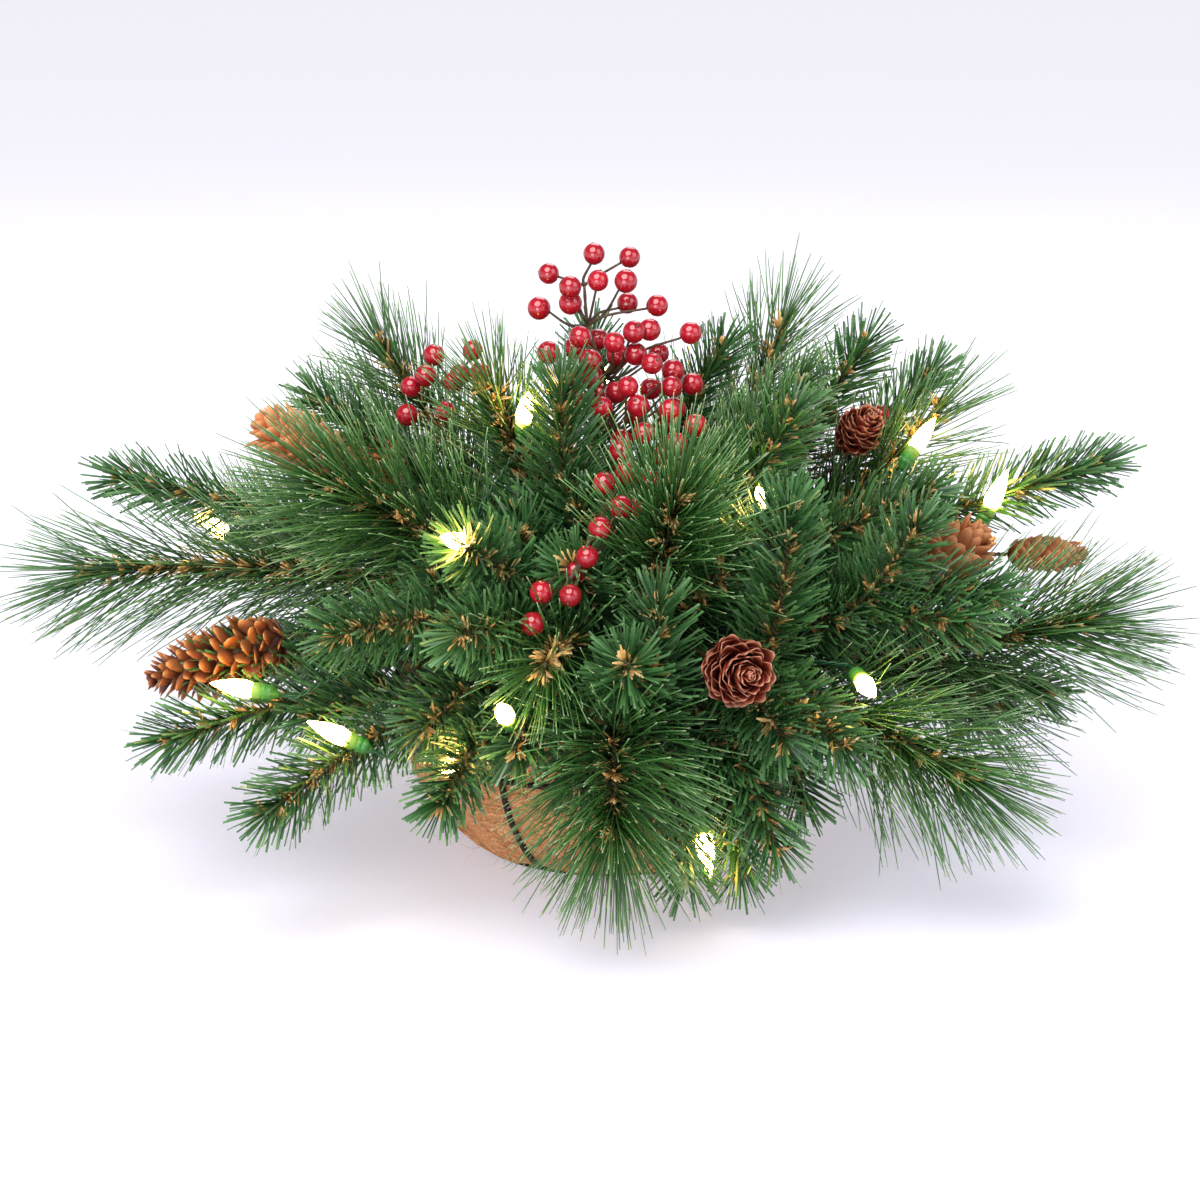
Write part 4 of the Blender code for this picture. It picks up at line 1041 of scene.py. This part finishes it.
def make_liner():
    """The felted shell, then loose fibres lying on it and standing off it."""
    turns, levels = 240, 46
    top = RIM_HEIGHT + LINER_ABOVE_RIM
    azimuth = np.linspace(0, 360, turns, endpoint=False)
    heights = np.linspace(0.0, top, levels)
    outer = liner_point(azimuth[None, :], heights[:, None])
    heights = np.linspace(top, LINER_WALL, 20)[:, None] + np.zeros(turns)
    reach = bowl_radius_at(heights, -WIRE_RADIUS - GAP - LINER_WALL)
    turn = np.radians(azimuth)
    inner = np.stack([reach * np.cos(turn), reach * np.sin(turn), heights], -1)
    under = outer[:1] * (0.02, 0.02, 1)
    inside = inner[-1:] * (0.02, 0.02, 1)
    rings = np.concatenate([under, outer, inner, inside])
    random = rng_for("coir")
    rings[2:levels] += random.normal(0, 0.00035, rings[2:levels].shape) * (1, 1, 0.3)
    rows = len(rings)
    at = np.arange(rows * turns).reshape(rows, turns)
    after = np.roll(at, -1, 1)
    quads = np.stack([at[:-1], after[:-1], after[1:], at[1:]], -1).reshape(-1, 4)
    mesh = bpy.data.meshes.new("coir_shell")
    faces = quads.tolist() + [at[0, ::-1].tolist(), at[-1].tolist()]
    mesh.from_pydata(rings.reshape(-1, 3).tolist(), [], faces)
    mesh.materials.append(looks["coir"])
    mesh.shade_smooth()
    place_piece("coir_shell", mesh, ["coir_liner"])
    make_fibres()


def make_fibres():
    """Loose fibres: most lie on the felt, a few stand off it."""
    piece = Strands("coir_fibres")
    random = piece.random
    top = RIM_HEIGHT + LINER_ABOVE_RIM
    count, steps = LYING_FIBRES, 8
    azimuth = random.uniform(0, 360, count)
    height = top * random.uniform(0.01, 1, count)
    heading = random.uniform(0, 2 * np.pi, count)
    bend = random.normal(0, 0.9, count)
    length = random.uniform(0.010, 0.030, count)
    t = np.linspace(-0.5, 0.5, steps)
    angle = heading[:, None] + bend[:, None] * t
    # Degrees round the bowl and metres up it, at each step of the fibre
    step = length[:, None] * t
    round_it = azimuth[:, None] + np.degrees(step * np.cos(angle) / 0.10)
    up_it = np.clip(height[:, None] + step * np.sin(angle) * 0.9, 0.0015, top)
    lift = random.uniform(0, 0.0009, count)[:, None]
    lift = lift + 0.0006 * np.sin(np.pi * (t + 0.5)) * random.uniform(0, 1.6, (count, 1))
    paths = liner_point(round_it, up_it, lift)
    radius = random.uniform(0.00012, 0.00026, count)[:, None] * np.ones(steps)
    piece.add(paths, radius, up=random.normal(0, 1, (count, 3)), sides=3)
    count = STANDING_FIBRES
    azimuth, height = random.uniform(0, 360, count), top * random.uniform(0.02, 1, count)
    root = liner_point(azimuth, height)
    turn = np.radians(azimuth)
    out = np.stack([np.cos(turn), np.sin(turn), -0.15 * np.ones(count)], -1)
    way = unit(out * random.uniform(0.25, 1, (count, 1)) + random.normal(0, 0.75, (count, 3)))
    way = unit(np.where((way * out).sum(-1, keepdims=True) < 0, -way, way))
    curl = random.normal(0, 0.45, (count, 3))
    paths = straws(root, way, curl, random.uniform(0.006, 0.020, count), 8)
    radius = random.uniform(0.00007, 0.00014, count)[:, None] * np.linspace(1, 0.6, 8)
    piece.add(paths, radius, up=random.normal(0, 1, (count, 3)), sides=3)
    piece.build([looks["coir_fibre"]], "coir")


# ---- CAD nodes that stay

def bevelled(node, width):
    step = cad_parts[node].modifiers.new("Softened edges", "BEVEL")
    step.width = width
    step.segments = 3
    step.limit_method = "ANGLE"


def finish_nodes():
    case = moulded("battery_plastic", "161716", "202220", 0.5)
    cover = moulded("battery_cover_plastic", "191a19", "232523", 0.46)
    button = moulded("button_plastic", "9a9a98", "b4b4b0", 0.4)
    jacket = moulded("cell_jacket", "4b4c50", "5d5e62", 0.32, 400.0, 0.6)
    kept = {
        "foam_block": looks["foam"],
        "battery_case": case,
        "battery_cover": cover,
        "timer_button": button,
        "aa_cell_1": jacket,
        "aa_cell_2": jacket,
    }
    stub = moulded("stem_stub", "3a3218", "4b4322", 0.6)
    kept.update({name + "_stem_root": stub for name in BENDING})
    for node, material in kept.items():
        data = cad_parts[node].data
        data.materials.clear()
        data.materials.append(material)
    bevelled("battery_case", 0.0006)
    bevelled("timer_button", 0.0004)
    make_grip()


def make_grip():
    """Ribs across the battery cover, for the thumb that slides it."""
    low, high = box_of("battery_cover")
    piece = Strands("battery_cover_grip")
    middle = (low[0] + high[0]) / 2
    for index in range(6):
        y = high[1] - 0.0035 - index * 0.0018
        half = 0.011 - abs(index - 2.5) * 0.0012
        path = np.array([(middle + x * half, y, high[2] + 0.00005) for x in np.linspace(-1, 1, 12)])
        profile = 0.00045 * np.sqrt(np.clip(1 - np.linspace(-1, 1, 12) ** 8, 0.1, 1))
        piece.add(path, profile[None], sides=8)
    piece.build([moulded("grip_plastic", "191a19", "232523", 0.46)], "battery_plastic", (), "battery_cover")


# ---- stage, camera and lights

CAMERA_AIM = Vector((-0.004, 0.0, 0.128))
CAMERA_DISTANCE = 1.5
CAMERA_ELEVATION = 15
CAMERA_LENS = 86.5
LIGHT_AIM = Vector((0, 0, 0.15))
FLOOR_RADIUS = 40.0


def make_stage():
    floor = bpy.data.meshes.new("floor")
    rim = [along(azimuth, 0) * FLOOR_RADIUS for azimuth in np.linspace(0, 360, 96, endpoint=False)]
    floor.from_pydata(rim, [], [range(len(rim))])
    glow = {"Emission_Color": colour("f7f5ff")}
    nodes = material("floor_paper", Roughness=0.75, **glow)
    where = nodes.node("ShaderNodeTexCoord").outputs["Object"]
    away = nodes.node("ShaderNodeVectorMath", {0: where}, operation="LENGTH").outputs["Value"]
    # Painted shade: the paper's colour is a little darker near the object, and its glow below is weaker
    # there.
    nodes.link(nodes.ramp(nodes.maths("MULTIPLY", away, 0.5), "0.1 b8b7c9 0.5 c3c2cc"), "Base Color")
    # Paper that glows more the further it is from the object, as in a photo on white
    nodes.link(nodes.between(away, 0.44, 0.78, 0.2, 1.2), "Emission Strength")
    floor.materials.append(nodes.made)
    add_object("floor", floor)


def look_at(thing, aim):
    thing.rotation_euler = (aim - thing.location).to_track_quat("-Z", "Y").to_euler()


def make_camera():
    e = math.radians(CAMERA_ELEVATION)
    data = bpy.data.cameras.new("camera")
    data.lens = CAMERA_LENS
    data.sensor_width = 36
    data.clip_end = 50
    camera = add_object("camera", data)
    camera.location = CAMERA_AIM + CAMERA_DISTANCE * Vector((0, -math.cos(e), math.sin(e)))
    look_at(camera, CAMERA_AIM)
    bpy.context.scene.camera = camera


def area_light(name, place, size, energy, tint):
    data = bpy.data.lights.new(name, "AREA")
    data.shape = "DISK"
    data.size = size
    data.energy = energy
    data.color = tint
    light = add_object(name, data)
    light.location = place
    look_at(light, LIGHT_AIM)


def make_lights():
    # White at the horizon, and dimmer overhead so that the needles shade one another
    nodes = Nodes(bpy.data.worlds.new("world"), "Background", Color=(1.0, 1.0, 1.0, 1.0))
    where = nodes.node("ShaderNodeTexCoord").outputs["Generated"]
    rise = nodes.node("ShaderNodeSeparateXYZ", {0: where}).outputs["Z"]
    nodes.link(nodes.between(rise, 0.97, 0.16, 0.14, 0.4), "Strength")
    bpy.context.scene.world = nodes.made
    area_light("key_light", (-0.5, -1.1, 1.9), 2.0, 62, (1.0, 0.99, 0.96))
    area_light("fill_light", (1.5, -0.9, 1.3), 1.6, 16, (0.97, 0.98, 1.0))
    area_light("front_light", (-0.5, -1.55, 0.25), 0.9, 9, (1.0, 0.98, 0.95))
    area_light("rim_light", (0.2, 1.4, 1.7), 1.4, 16, (1.0, 1.0, 1.0))
    bpy.context.scene.view_settings.view_transform = "Standard"


# ---- the whole arrangement

looks = make_materials()
make_camera()
make_stage()
make_lights()
make_basket()
make_liner()
make_all_foliage()
make_fillers()
for row in CONES + BACK_CONES:
    make_cone(*row)
for spray_name, (spray_root, spray_stem, spray_berries) in SPRAYS.items():
    make_spray(spray_name, spray_root, spray_stem, spray_berries)
make_light_string()
make_caps()
finish_nodes()
